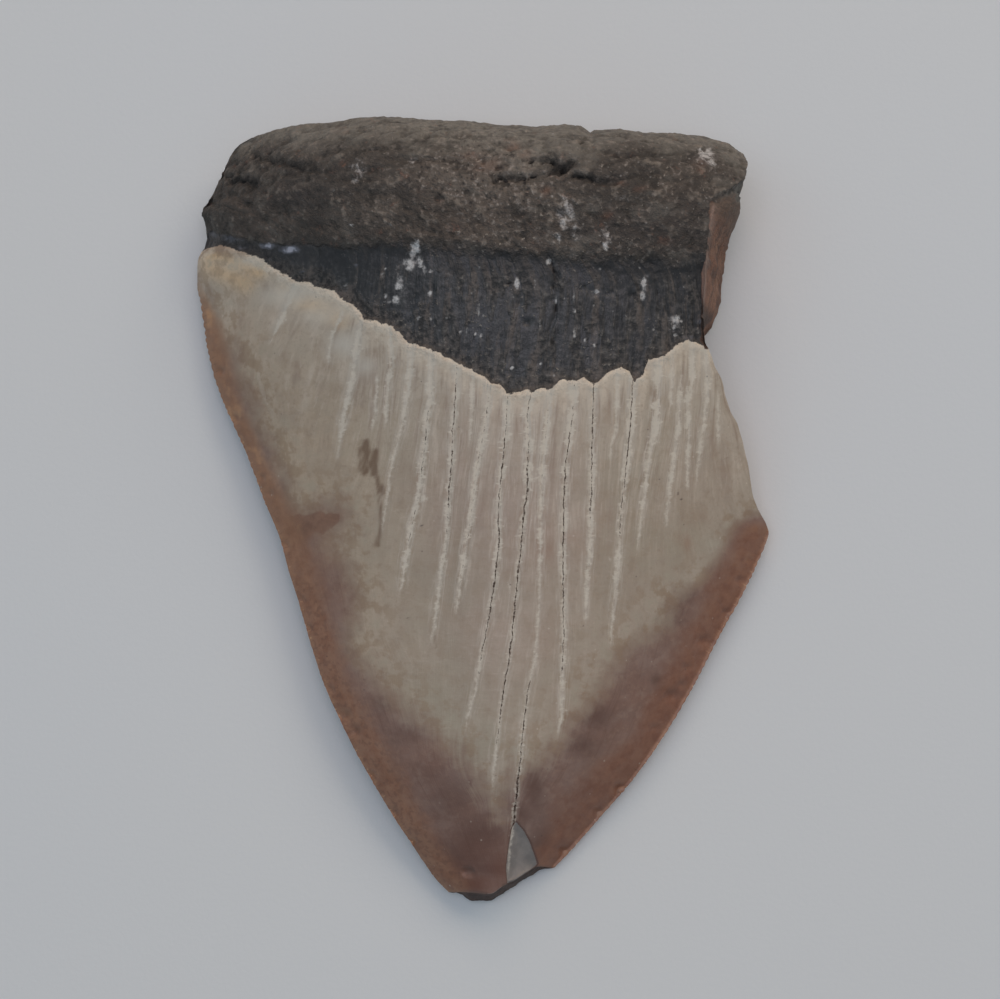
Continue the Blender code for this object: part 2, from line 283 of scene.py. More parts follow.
right_whole_x = curve([
    (-41.7, 8.1), (-36.2, 13.1), (-31.4, 17.3), (-26.1, 21.1), (-21.0, 24.2), (-15.0, 27.4), (-10.8, 29.8),
    (-6.7, 31.9), (-2.8, 33.6), (5.0, 37.0), (15.0, 41.0), (25.0, 43.0), (35.0, 42.0), (46.0, 38.0)])
fracture_read = curve([
    (17.5, 25.7), (19.0, 26.0), (20.4, 26.3), (21.8, 26.9), (23.5, 27.7), (24.9, 28.3), (26.4, 28.6), (28.4, 28.8),
    (29.8, 29.0), (31.3, 29.4), (32.7, 29.9), (34.3, 30.3), (35.6, 30.4), (37.0, 30.6), (40.4, 30.2)])
fracture_trim = curve([(17, 0), (20, 0.35), (22, 0.75), (24, 0.5), (26, 0.05), (28, -0.3), (30.5, -0.3), (32.5, -0.1), (34.5, -0.15), (36, 0.15), (40, 0.2)])


def fracture_x(y):
    return fracture_read(y) + fracture_trim(y)


root_end_read = curve([
    (-27.0, 43.3), (-24.6, 44.0), (-21.0, 44.7), (-16.3, 45.1), (-11.0, 45.5), (-6.9, 45.1), (-2.2, 44.7),
    (2.5, 44.2), (6.5, 43.9), (10.0, 44.1), (12.1, 43.9), (12.6, 43.4), (13.0, 43.1), (13.6, 43.5), (14.2, 43.5),
    (18.8, 43.3), (24.6, 42.8), (28.3, 41.8), (30.6, 40.4)])
root_end_trim = curve([(-31, 0.75), (-25, 0.65), (-22, 0.5), (-19.5, 0.2), (-17, 0.0), (20, 0.0), (24, 0.4), (27.5, 0.5), (30.6, 0.7)])


def root_end_y(x):
    return root_end_read(x) + root_end_trim(x)


tip_lip_y = curve([
    (-3.3, -44.5), (-1.3, -44.3), (1.1, -44.5), (2.8, -43.5), (3.9, -43.1), (5.5, -42.1), (6.6, -41.5), (8.1, -41.7)])
tip_low_y = curve([
    (-3.3, -44.6), (-2.2, -45.1), (-1.2, -45.5), (0.8, -45.5), (2.8, -44.4), (5.2, -43.0), (6.7, -42.2), (8.1, -41.8)])
crest_z = curve([
    (-45.5, 5.4), (-40, 6.6), (-30, 8.6), (-20, 10.3), (-10, 12.0), (0, 13.8), (8, 15.4), (13, 16.5), (20, 18.3),
    (28, 20.2), (34, 20.9), (39, 20.2), (43, 18.4), (46, 16.6)])
edge_z = curve([(-46, 3.0), (-20, 3.0), (0, 3.0), (15, 3.1), (25, 3.6), (30, 4.8), (35, 6.5), (40, 8.0), (46, 9.5)])
crest_x = curve([(-46, 1.2), (-38, 1.6), (-21, 3.0), (-3, 4.8), (10, 5.0), (30, 3.0), (46, 1.0)])
fullness = curve([(-46, 1.9), (0, 2.0), (15, 2.15), (25, 2.5), (35, 3.0), (46, 3.0)])
root_margin_y = curve([
    (-32.0, 32.9), (-29.9, 31.9), (-26.1, 30.4), (-21.8, 29.3), (-15.3, 28.2), (-2.8, 27.4), (2.8, 26.9),
    (9.5, 26.2), (17.3, 26.1), (25.2, 26.3)])


def lingual_base(x, y):
    middle = crest_x(y)
    half = np.where(x < middle, middle - left_x(y), right_whole_x(y) - middle)
    t = np.clip(np.abs(x - middle) / half, 0, 1)
    low = edge_z(y)
    dome = (1 - t ** fullness(y)) ** (1 - 0.3 * ease(22, 34, y))
    z = mix(low, crest_z(y), dome)
    depth = np.clip((root_end_y(x) - y) / ROOT_END_ROUNDING, 0, 1)
    return np.where(z > ROOT_RIM, mix(ROOT_RIM, z, np.sqrt(np.clip(1 - (1 - depth) ** 2, 0, 1))), z)


# enamel's upper rim, read along its lobes in the photograph
RIM_PX = [
    (205, 249), (210, 248), (216, 244), (224, 246), (240, 252), (258, 258.5), (267, 266), (279, 274), (286, 277), (292, 283),
    (300, 285), (309, 286), (321, 291), (334, 294.7), (340, 302), (351, 305), (360, 311), (363, 320), (375, 320.5),
    (390, 326), (399, 332), (406, 341), (419, 344.7), (438, 353), (455, 361), (459, 366), (471, 368), (479, 375),
    (488, 379), (492, 383.5), (502, 384.5), (506, 393.7), (514, 392.7), (526.5, 390), (531.6, 392), (543, 386.5),
    (550, 388.6), (561, 380), (575, 380.4), (586, 378), (593, 384.5), (598, 382), (604, 374), (616, 368),
    (624.5, 368), (631, 373), (634, 381), (643, 377), (646, 368), (647.5, 360), (654, 357), (660.5, 358.5), (669, 351),
    (677, 345), (685, 340), (693, 341), (701.5, 344), (709, 349)]
rim_mm = np.array([on_tooth(*p) for p in RIM_PX])
rim_mm = rim_mm[np.argsort(rim_mm[:, 0])]


def rim_y(x):
    return np.interp(x, rim_mm[:, 0], rim_mm[:, 1]) + 0.55 * ease(-12.5, -16.0, x)


# ---------------------------------------------------------------------------------------------------------------
# veins and cracks down the crown: (x, y, white, black) along each, left to right
# ---------------------------------------------------------------------------------------------------------------
VEINS = [
    [(293, 289, .8, 0), (286, 304, .9, 0), (281, 319, .8, 0), (271, 339, .2, 0)],
    [(338, 322, .5, 0), (332, 335, .6, 0), (330, 348, .6, 0), (329, 360, .2, 0)],
    [(360, 330, .8, 0), (356, 350, .9, 0), (353, 378, .9, 0), (347, 404, .8, 0), (343, 425, .8, 0), (338, 455, .2, 0)],
    [(377, 385, .3, 0), (375, 417, .5, 0), (372, 430, .1, 0)],
    [(390, 330, .6, 0), (391, 367, .7, 0), (388, 382, .6, 0), (386, 410, .6, 0), (386, 427, .1, 0)],
    [(412, 348, .8, 0), (410, 376, .8, 0), (406, 403, .8, 0), (400, 433, .7, 0), (394, 455, .5, 0), (390, 472, .4, 0),
     (388, 494, .3, 0), (384, 519, .3, 0), (382, 533, .1, 0)],
    [(431, 352, .8, .2), (431, 397, .9, .3), (426.5, 421, 1, .4), (425, 441, 1, .4), (421, 479, 1, .4),
     (418, 501, .9, .4), (412, 524, .9, .3), (409, 543, .9, .3), (405, 564, .8, .2), (402, 584, .5, 0), (400, 592, .1, 0)],
    [(457, 364, .8, .2), (455, 400, .8, .6), (453, 431, .8, .6), (452, 458, .8, .6), (449.5, 487, .8, .6),
     (448, 510, .8, .5), (447, 535, .7, .3), (441, 574, .7, .1), (436, 615, .5, 0), (431, 643, .1, 0)],
    [(473, 375, .45, 0), (471, 430, .4, 0), (469, 445, .1, 0)],
    [(490, 382, .9, .2), (486, 420, .8, .4), (480, 450, .9, .4), (475.5, 474, .9, .4), (473, 500, .9, .3),
     (469, 525, .9, .3), (464, 555, .9, .3), (459, 590, .7, .2), (456, 610, .2, 0)],
    [(508, 393, .9, .3), (505, 440, .9, .6), (501, 476, .9, .7), (498, 515, .9, .65), (499, 538, .8, .7),
     (495, 579, .8, .8), (490, 613, .7, .8), (483, 647, .5, .6), (479, 667, .5, .3), (475, 692, .4, .2),
     (468, 715, .3, 0), (465, 730, .1, 0)],
    [(531, 392, 1, .3), (527, 415, 1, .4), (529, 440, 1, .5), (527, 470, 1, .6), (528, 488, .9, .9), (525, 505, .8, 1),
     (522, 535, .8, 1), (519, 568, .7, 1), (515, 605, .6, 1), (512, 637, .6, 1), (509, 660, .5, 1), (505, 682, .4, .9),
     (501, 710, .4, .7), (498, 735, .5, .5), (495, 760, .4, .2), (492, 790, .1, 0)],
    [(550, 388, .9, .1), (547.5, 418, .9, .3), (545, 442, .9, .3), (542, 470, .9, .3), (540.5, 525, .7, .1),
     (539, 600, .3, 0), (537, 635, .4, .1), (533, 668, .5, .3), (528, 690, .5, .6), (524, 720, .4, 1),
     (521, 752, .4, 1), (518, 780, .3, 1), (515, 810, .3, 1), (512, 835, .3, .9), (509, 850, .3, .5), (508, 875, .1, .1)],
    [(574, 380, .9, .2), (573, 412, .9, .4), (568, 448, 1, .6), (565, 468, 1, .75), (564, 500, .9, .8), (563, 560, .9, .75),
     (563, 602, .8, .9), (564, 630, .8, .7), (562, 680, .8, .3), (561, 715, .7, .1), (558, 735, .1, 0)],
    [(594, 380, .6, .75), (593, 412, .8, .7), (592, 440, .9, .7), (592, 490, .9, .6), (590, 510, .9, .5), (591, 530, .8, .3),
     (590, 555, .8, .2), (587, 582, .7, .2), (586, 605, .6, .1), (585, 625, .1, 0)],
    [(617, 370, .5, 0), (616, 431, .4, 0), (611, 445, .3, 0), (610, 462, .1, 0)],
    [(633, 380, 1, .7), (631, 410, 1, .7), (629, 440, 1, .7), (625, 477, 1, .65), (622, 503, .9, .6), (620, 530, .8, .5),
     (618, 560, .8, .3), (616, 583, .8, .1), (613, 605, .7, 0), (611, 640, .2, 0)],
    [(658, 360, 1, .1), (658, 395, 1, .1), (655, 430, 1, .2), (649, 455, .9, .1), (645, 485, .8, 0), (641, 515, .6, 0),
     (638, 545, .2, 0)],
    [(671, 355, .5, .2), (671, 402, .3, .2), (670, 410, .1, 0)],
    [(680, 385, .3, 0), (679, 398, .6, 0), (678, 431, .8, 0), (674, 453, .8, 0), (671, 478, .7, 0), (668, 500, .6, 0),
     (666, 522, .2, 0)],
    [(691, 345, .8, .1), (692, 376, .8, .1), (688, 400, .7, 0), (688, 440, .6, 0), (687, 485, .2, 0)],
    [(705, 352, .8, 0), (707, 400, .8, 0), (703, 425, .7, 0), (699, 455, .6, 0), (696, 485, .1, 0)],
    [(718, 400, .2, 0), (718, 425, .4, 0), (718, 444, .1, 0)],
]
# columns of mesh between one vein and the next, from the left edge to the right edge
SPLITS = [30, 16, 11, 7, 6, 7, 8, 9, 6, 6, 7, 9, 8, 9, 8, 8, 6, 9, 6, 5, 6, 6, 6, 11]
ROWS = 325
LEVELS = 12
UNDER = 40
DENSE = 3
PITCH = 0.88  # one serration, mm


def grid_rows():
    """Station parameter v of each row."""
    return np.linspace(0, 1, ROWS + 1)


def row_y(v, u, x):
    yl, yr = mix(-44.5, 43.3, v), mix(-41.7, 40.4, v)
    y = mix(yl, yr, u)
    y = y + ease(0.72, 1.0, v) * (root_end_y(x) - mix(43.3, 40.4, u))
    return y + (1 - ease(0.0, 0.08, v)) * (tip_lip_y(x) - mix(-44.5, -41.7, u))


def guide_lines(v):
    """x of the left edge, each vein's line and the right edge at every row. Beyond its own ends a vein's line relaxes
    to lie evenly between its neighbours."""
    n = len(VEINS)
    xl, xr = left_x(mix(-44.5, 43.3, v)), right_x(mix(-41.7, 40.4, v))
    x = xl[:, None] + (xr - xl)[:, None] * np.linspace(0, 1, n + 2)[None, :]
    lines = []
    for vein in VEINS:
        pts = np.array([on_tooth(p[0], p[1]) for p in vein])
        pts = pts[np.argsort(pts[:, 1])]
        lines.append(pts)
    white = np.zeros((len(v), n + 2))
    black = np.zeros((len(v), n + 2))
    for turn in range(3):
        u = (x - xl[:, None]) / (xr - xl)[:, None]
        y = row_y(v[:, None], u, x)
        known, weight = np.zeros_like(x), np.zeros_like(x)
        for i, pts in enumerate(lines):
            yy = y[:, i + 1]
            k = np.interp(yy, pts[:, 1], pts[:, 0])
            lo_slope = (pts[1, 0] - pts[0, 0]) / (pts[1, 1] - pts[0, 1])
            hi_slope = (pts[-1, 0] - pts[-2, 0]) / (pts[-1, 1] - pts[-2, 1])
            k += np.where(yy < pts[0, 1], (yy - pts[0, 1]) * lo_slope, 0)
            k += np.where(yy > pts[-1, 1], (yy - pts[-1, 1]) * hi_slope, 0)
            known[:, i + 1] = k
            weight[:, i + 1] = np.minimum(ease(pts[0, 1] - 9, pts[0, 1], yy), 1 - ease(pts[-1, 1], pts[-1, 1] + 12, yy))
        for _ in range(260):
            even = 0.5 * (x[:, :-2] + x[:, 2:])
            row = x[:, 1:-1].copy()
            row[1:-1] = 0.5 * (x[:-2, 1:-1] + x[2:, 1:-1])
            even = 0.75 * even + 0.25 * row
            x[:, 1:-1] = weight[:, 1:-1] * known[:, 1:-1] + (1 - weight[:, 1:-1]) * even
    u = (x - xl[:, None]) / (xr - xl)[:, None]
    y = row_y(v[:, None], u, x)
    for i, vein in enumerate(VEINS):
        pts = np.array([on_tooth(p[0], p[1]) for p in vein])
        w = np.array([[p[2], p[3]] for p in vein])
        o = np.argsort(pts[:, 1])
        fade = np.minimum(ease(pts[o[0], 1] - 1.0, pts[o[0], 1], y[:, i + 1]),
                          1 - ease(pts[o[-1], 1] + 0.5, pts[o[-1], 1] + 1.5, y[:, i + 1]))
        white[:, i + 1] = np.interp(y[:, i + 1], pts[o, 1], w[o, 0]) * fade
        black[:, i + 1] = np.interp(y[:, i + 1], pts[o, 1], w[o, 1]) * fade
    # keep the lines in order
    for i in range(1, n + 1):
        x[:, i] = np.maximum(x[:, i], x[:, i - 1] + 0.10)
    for i in range(n, 0, -1):
        x[:, i] = np.minimum(x[:, i], x[:, i + 1] - 0.10)
    return x, white, black


def bevel_width(y):
    return np.minimum(BEVEL_WIDTH, 0.36 * (right_whole_x(y) - left_x(y)))


def smooth_levels(stops, t):
    """A rounded path through four stops (level 0, 1/3, 2/3, 1) for arrays of stops."""
    p0, p1, p2, p3 = stops
    a = t * 3
    seg = min(int(a), 2)
    f = a - seg
    pts = [p0 - (p1 - p0) * 0.6, p0, p1, p2, p3, p3 + (p3 - p2) * 0.6]
    q0, q1, q2, q3 = pts[seg], pts[seg + 1], pts[seg + 2], pts[seg + 3]
    return 0.5 * (2 * q1 + (q2 - q0) * f + (2 * q0 - 5 * q1 + 4 * q2 - q3) * f * f + (3 * q1 - q0 - 3 * q2 + q3) * f**3)


def left_stops(y, z_top):
    w, root = bevel_width(y), ease(26, 34, y)
    dx, z = [np.zeros_like(y)], [z_top]
    for f, rx, rz in ((0.18, 0.4, 3.4), (0.5, 1.4, 1.0), (1.0, 3.5, 0.0)):
        dx.append(mix(f * w, rx, root))
        z.append(mix(EDGE_HEIGHT * (1 - f) ** 1.6, rz, root))
    return dx, z


def right_stops(x, y, z_top):
    w = bevel_width(y)
    broken = ease(-4.5, -1.0, y)
    strip = ease(16.5, 22.0, y) * (1 - ease(34.6, 37.4, y))
    corner = ease(34.6, 37.4, y)
    outer = fracture_x(y) - x
    rise = ease(26.5, 35.0, y)  # the broken face climbs to meet the top of the root
    dxs, zs = [np.zeros_like(y)], [z_top]
    for f, wall, face, knob in (
        (0.18, (-0.25, 0.55 * z_top), (outer, mix(4.4, 0.78 * z_top, rise)), (-0.3, 5.5)),
        (0.5, (-0.6, 0.18 * z_top), (outer - 0.4, mix(1.4, 3.0, rise)), (-1.0, 1.7)),
        (1.0, (-1.3, 0.0), (outer - 1.9, 0.0), (-2.8, 0.0)),
    ):
        dx, z = mix(-f * w, wall[0], broken), mix(EDGE_HEIGHT * (1 - f) ** 1.6, wall[1], broken)
        dx, z = mix(dx, face[0], strip), mix(z, face[1], strip)
        dxs.append(mix(dx, knob[0], corner))
        zs.append(mix(z, knob[1], corner))
    return dxs, zs


ROOT_STOPS = ((0.0, None), (-0.5, 4.6), (-1.3, 1.4), (-3.0, 0.0))


def root_stops():
    return ROOT_STOPS


def tip_stops(x):
    low = tip_low_y(x) - tip_lip_y(x)
    return ((0 * low, None), (low, 2.3), (low + 0.5, 0.8), (low + 1.6, 0.0))


class Builder:
    def __init__(self):
        self.points = []
        self.tags = {k: [] for k in ("s", "gap", "white", "black", "part", "wall")}
        self.faces = []
        self.count = 0

    def add(self, p, part, wall=0.0, s=0.0, gap=1.0, white=0.0, black=0.0):
        """Adds points and returns their indices. part: 0 lingual, 1 side wall, 2 root end, 3 tip end, 4 labial."""
        p = np.asarray(p, float).reshape(-1, 3)
        n = len(p)
        self.points.append(p)
        for key, value in (("s", s), ("gap", gap), ("white", white), ("black", black), ("part", part), ("wall", wall)):
            self.tags[key].append(np.broadcast_to(np.asarray(value, float), (n,)).copy())
        ids = np.arange(self.count, self.count + n)
        self.count += n
        return ids

    def quads(self, a, b, flip=False):
        """Quads between two index lines of equal length."""
        a, b = np.asarray(a), np.asarray(b)
        q = np.stack([a[:-1], a[1:], b[1:], b[:-1]], 1)
        self.faces.append(q[:, ::-1] if flip else q)

    def stitch(self, a, b, pa, pb, flip=False):
        """Triangles between two index lines of different lengths, whose positions along are pa and pb (0 to 1)."""
        i = j = 0
        out = []
        while i < len(a) - 1 or j < len(b) - 1:
            if j == len(b) - 1 or (i < len(a) - 1 and pa[i + 1] <= pb[j + 1]):
                out.append((a[i], a[i + 1], b[j], b[j]))
                i += 1
            else:
                out.append((a[i], b[j + 1], b[j], b[j]))
                j += 1
        tri = np.array(out)[:, :3]
        self.faces.append(tri[:, ::-1] if flip else tri)


def build_shape():
    """The tooth's surface before its fine relief: positions in raw mm, faces, and a tag set for each vertex."""
    v = grid_rows()
    guides, white_i, black_i = guide_lines(v)
    s_cols = []
    for i, m in enumerate(SPLITS):
        j = np.arange(m) / m
        f = mix(j, 0.5 - 0.5 * np.cos(np.pi * j), 0.55)
        s_cols.extend(i + f)
    s_cols = np.array(s_cols + [len(SPLITS)], float)
    cols = len(s_cols) - 1
    lower = np.minimum(np.floor(s_cols).astype(int), len(SPLITS) - 1)
    part_f = s_cols - lower
    x = guides[:, lower] * (1 - part_f) + guides[:, lower + 1] * part_f
    xl, xr = guides[:, 0], guides[:, -1]
    u = (x - xl[:, None]) / (xr - xl)[:, None]
    y = row_y(v[:, None], u, x)
    z = lingual_base(x.ravel(), y.ravel()).reshape(x.shape)
    nearest = np.clip(np.round(s_cols).astype(int), 0, len(SPLITS))
    gap = guides[:, lower + 1] - guides[:, lower]
    white, black = white_i[:, nearest], black_i[:, nearest]

    b = Builder()
    grid = np.zeros((ROWS + 1, cols + 1), int)
    inner = slice(1, cols)
    for j in range(ROWS + 1):
        whole = j in (0, ROWS)
        sl = slice(0, cols + 1) if whole else inner
        grid[j, sl] = b.add(np.stack([x[j, sl], y[j, sl], z[j, sl]], 1), 0, s=s_cols[sl], gap=gap[j, sl],
                            white=white[j, sl], black=black[j, sl])

    # the two boundary lines are three times as fine, for the serrations
    fine_v = np.linspace(0, 1, ROWS * DENSE + 1)
    lines = {}
    for name, uu in (("left", 0.0), ("right", 1.0)):
        yy0 = mix(-44.5, 43.3, fine_v) if uu == 0 else mix(-41.7, 40.4, fine_v)
        xx = left_x(yy0) if uu == 0 else right_x(yy0)
        yy = row_y(fine_v, uu, xx)
        zz = lingual_base(xx, yy)
        ids = np.zeros(len(fine_v), int)
        col = 0 if uu == 0 else cols
        ids[0], ids[-1] = grid[0, col], grid[ROWS, col]
        ids[1:-1] = b.add(np.stack([xx, yy, zz], 1)[1:-1], 0, s=s_cols[col],
                          gap=np.interp(fine_v[1:-1], v, gap[:, col]))
        grid[:, col] = ids[::DENSE]
        lines[name] = ids
    cut_rows = v
    for j in range(ROWS):
        b.quads(grid[j, 1:cols], grid[j + 1, 1:cols])
    for name, col, near, flip in (("left", 0, 1, False), ("right", cols, cols - 1, True)):
        b.stitch(lines[name], grid[:, near], fine_v, cut_rows, flip=not flip)

    # walls below the boundary lines
    pts = np.vstack(b.points)
    base_l, base_r = pts[grid[:, 0]], pts[grid[:, cols]]
    dxl, zl = left_stops(base_l[:, 1], base_l[:, 2])
    dxr, zr = right_stops(base_r[:, 0], base_r[:, 1], base_r[:, 2])
    root_pull, tip_pull = ease(0.93, 1.0, v), 1 - ease(0.0, 0.05, v)
    tip_l, tip_r = tip_stops(base_l[:, 0]), tip_stops(base_r[:, 0])
    left, right = [grid[:, 0]], [grid[:, cols]]
    for k in range(1, LEVELS + 1):
        t = k / LEVELS
        for side, base, dx, zz, tip in ((left, base_l, dxl, zl, tip_l), (right, base_r, dxr, zr, tip_r)):
            dy = root_pull * smooth_levels([r[0] for r in root_stops()], t) \
                + tip_pull * smooth_levels([q[0] for q in tip], t)
            px = base[:, 0] + smooth_levels(dx, t)
            pz = np.clip(smooth_levels(zz, t), 0, None)
            if k == LEVELS:
                pz = pz * 0
            side.append(b.add(np.stack([px, base[:, 1] + dy, pz], 1), 1, wall=t,
                              s=0.0 if side is left else float(len(SPLITS))))
    for name, side, flip in (("left", left, False), ("right", right, True)):
        b.stitch(lines[name], side[1], fine_v, v, flip=flip)
        for k in range(1, LEVELS):
            b.quads(side[k], side[k + 1], flip=flip)

    # walls across the root's end and the broken tip, whose lines get coarser downwards
    pts = np.vstack(b.points)
    bottom = {}
    for j, flip in ((ROWS, True), (0, False)):
        row = grid[j]
        rx, ry, rz = pts[row].T
        ru = np.linspace(0, 1, cols + 1) if False else (rx - rx[0]) / (rx[-1] - rx[0])
        above, above_u = row, ru
        for k in range(1, LEVELS + 1):
            t = k / LEVELS
            n = int(round(mix(cols, UNDER, min(1.0, (k - 1) / (LEVELS - 2)) ** 0.8)))
            uu = np.linspace(0, 1, n + 1)
            if n == cols:
                uu = ru
            bx, by, bz = (np.interp(uu, ru, c) for c in (rx, ry, rz))
            stops = root_stops() if j else tip_stops(bx)
            dy = smooth_levels([np.zeros_like(bx) + q[0] for q in stops], t)
            z_wall = smooth_levels([bz] + [np.zeros_like(bz) + q[1] for q in stops[1:]], t)
            near_l, near_r = 1 - ease(0.0, 0.22, uu), ease(0.78, 1.0, uu)
            pl, pr = pts[left[k][j]], pts[right[k][j]]
            # at the narrow tip the ends' shift spreads over the whole line lower down, so the line never turns back
            spread = 0.0 if j else ease(0.45, 1.0, t)
            wx = bx + mix(near_l, 1 - uu, spread) * (pl[0] - rx[0]) + mix(near_r, uu, spread) * (pr[0] - rx[-1])
            wz = np.clip(mix(mix(z_wall, pl[2], near_l), pr[2], near_r), 0, None)
            ids = np.zeros(n + 1, int)
            ids[0], ids[-1] = left[k][j], right[k][j]
            ids[1:-1] = b.add(np.stack([wx, by + dy, wz], 1)[1:-1], 2 if j else 3, wall=t, s=12.0)
            b.stitch(above, ids, above_u, uu, flip=not flip)
            above, above_u = ids, uu
        bottom[j] = above

    # labial face
    pts = np.vstack(b.points)
    uu = np.linspace(0, 1, UNDER + 1)
    below = bottom[0]
    for j in range(1, ROWS + 1):
        pl, pr = pts[left[LEVELS][j]], pts[right[LEVELS][j]]
        if j == ROWS:
            ids = bottom[ROWS]
        else:
            vv = v[j]
            # rows lean over to the end lines at both ends
            ends = (1 - ease(0.0, 0.10, vv)), ease(0.80, 1.0, vv)
            end0, end1 = pts[bottom[0]], pts[bottom[ROWS]]
            line_y = mix(pl[1], pr[1], uu)
            line_x = mix(pl[0], pr[0], uu)
            for weight, end in zip(ends, (end0, end1)):
                line_y = line_y + weight * (end[:, 1] - mix(end[0, 1], end[-1, 1], uu))
            ids = np.zeros(UNDER + 1, int)
            ids[0], ids[-1] = left[LEVELS][j], right[LEVELS][j]
            ids[1:-1] = b.add(np.stack([line_x, line_y, 0 * line_x], 1)[1:-1], 4, wall=1.0, s=12.0)
        b.quads(below, ids, flip=True)
        below = ids

    points = np.vstack(b.points)
    tags = {k: np.concatenate(t) for k, t in b.tags.items()}
    return points, b.faces, tags, lines


points, face_sets, tags, lines = build_shape()
print("tooth vertices", len(points), "triangles", sum(len(f) * (f.shape[1] - 2) for f in face_sets))


def settle(p):
    """How it lies: the left edge rides up a little, the tip comes down to the floor and the root's ends thin out."""
    x, y, z = p.T
    half = np.where(x < crest_x(y), crest_x(y) - left_x(y), right_x(y) - crest_x(y))
    out = np.clip(np.abs(x - crest_x(y)) / half, 0, 1)
    lift = 1.3 * ease(0.25, 1.0, out) * (x < crest_x(y)) * ease(-45.5, -36, y) * (1 - ease(-2, 18, y))
    lift -= 0.35 * ease(0.4, 1.0, out) * (x > crest_x(y)) * (1 - ease(-6, 2, y))
    lift -= 1.3 * ease(-26, -43, y)
    z = z + lift * np.clip(z / 3.0, 0, 1)
    z = z * (1 - 0.26 * ease(-10, -33, x) * ease(14, 30, y)) * (1 - 0.12 * ease(16, 31, x) * ease(28, 38, y))
    return np.stack([x, y, np.maximum(z, 0.0)], 1)


points = settle(points)

# ---------------------------------------------------------------------------------------------------------------
# where everything is, for each vertex
# ---------------------------------------------------------------------------------------------------------------
X, Y, Z = points.T.copy()
U, V = to_photo(points)
P = points
part, wall = tags["part"], tags["wall"]
labial = part == 4
on_top = part == 0
side_wall = part == 1
root_wall = part == 2
tip_wall = part == 3
right_side = side_wall & (X > 2)
under = np.where(side_wall | root_wall | tip_wall, ease(0.35, 0.75, wall), np.where(labial, 1.0, 0.0))
top = on_top.astype(float)

labial_rim_y = 22.5 + 3.4 * ((X - 3.0) / 30.0) ** 2 + 0.5 * np.sin(X * 0.55) + 0.25 * np.sin(X * 1.7 + 1.0)
ragged_rim = 0.20 * noise(P / 0.95, 33) + 0.22 * noise(P / 0.5, 34)
e_top = rim_y(X) - Y + ragged_rim
e_low = labial_rim_y - Y + ragged_rim
enamel = mix(e_top, e_low, under)                       # mm below the enamel's rim, negative above it
root = mix(Y - root_margin_y(X), -e_low - 0.3, under)   # mm above the root's margin, negative below it

line_l = points[lines["left"]][::6, :2]
line_r = points[lines["right"]][:, :2]
line_r = line_r[line_r[:, 1] < -2.6][::6]
edge_l, arc_l = to_line(X, Y, line_l[line_l[:, 1] < 29.0])
edge_r, arc_r = to_line(X, Y, line_r)
nearer_left = edge_l < edge_r
edge = np.where(nearer_left, edge_l, edge_r)
arc = np.where(nearer_left, arc_l, arc_r)

rust_left = curve([(-44, 2.2), (-36, 2.6), (-31, 2.9), (-22, 2.9), (-10, 2.8), (-3, 2.6), (3, 2.0), (7, 1.7), (12, 1.8),
                   (18, 2.2), (22, 1.9), (25, 1.0), (30, 0.2)])
rust_right = curve([(-44, 2.4), (-38, 2.8), (-33, 3.8), (-30, 3.8), (-27, 3.0), (-22, 3.0), (-14, 3.3), (-4, 3.3),
                    (-1, 2.6)])
rust = edge / np.where(nearer_left, rust_left(Y), rust_right(Y))

# ---------------------------------------------------------------------------------------------------------------
# fine relief, mm along the surface's own normal
# ---------------------------------------------------------------------------------------------------------------
is_enamel = ease(-0.10, 0.12, enamel)
is_root = ease(-0.9, 0.9, root + 1.2 * noise(P / 2.2, 35))
is_bour = (1 - is_enamel) * (1 - is_root)
fresh_root = (right_side & (Y > 17.0) & (Y < 35.5)) * ease(0.02, 0.12, wall) * (1 - ease(0.55, 0.9, wall))
fresh_side = (right_side & (Y > -2.4) & (Y <= 19.0)) * ease(0.02, 0.10, wall) * (1 - ease(0.75, 1.0, wall))
fresh_tip = tip_wall * ease(0.02, 0.12, wall) * (1 - ease(0.8, 1.0, wall))
fresh = np.clip(fresh_root + fresh_side + fresh_tip, 0, 1)

frac = tags["s"] - np.round(tags["s"])
vein_mm = np.abs(frac) * tags["gap"]

relief = np.zeros(len(P))
# enamel rim standing over the bourlette, and the root's margin
relief -= 0.38 * ease(-0.02, 0.32, -enamel) * (1 - is_root) * (1 - under)
relief += 0.10 * is_root * (1 - ease(38, 43, Y)) * top
crumbs = noise(P / 0.6, 37)
relief += (0.05 + 0.14 * crumbs) * np.exp(-(((enamel - 0.35) / 0.55) ** 2)) * is_enamel * (1 - 0.5 * under)
# enamel: slow swells, plates between the veins, grooves along them
veined = top * is_enamel * (1 - ease(20, 34, enamel))
relief += is_enamel * (0.10 * fbm(P, 9.0, 3, seed=3) + 0.030 * fbm(P, 2.0, 3, seed=5))
relief += veined * 0.05 * ease(0.0, 0.9, vein_mm)
ragged = 1 + 0.8 * noise(P * [1.6, 1.1, 1.0], 41)
relief -= top * is_enamel * 0.035 * np.clip(tags["black"] * ragged, 0, 1.4) * np.exp(-((vein_mm / 0.14) ** 2))
relief += top * is_enamel * 0.07 * np.clip(tags["white"] * ragged, 0, 1.4) * np.exp(-(((vein_mm - 0.22) / 0.2) ** 2))
relief -= top * is_enamel * 0.04 * tags["white"] * np.exp(-((vein_mm / 0.16) ** 2))
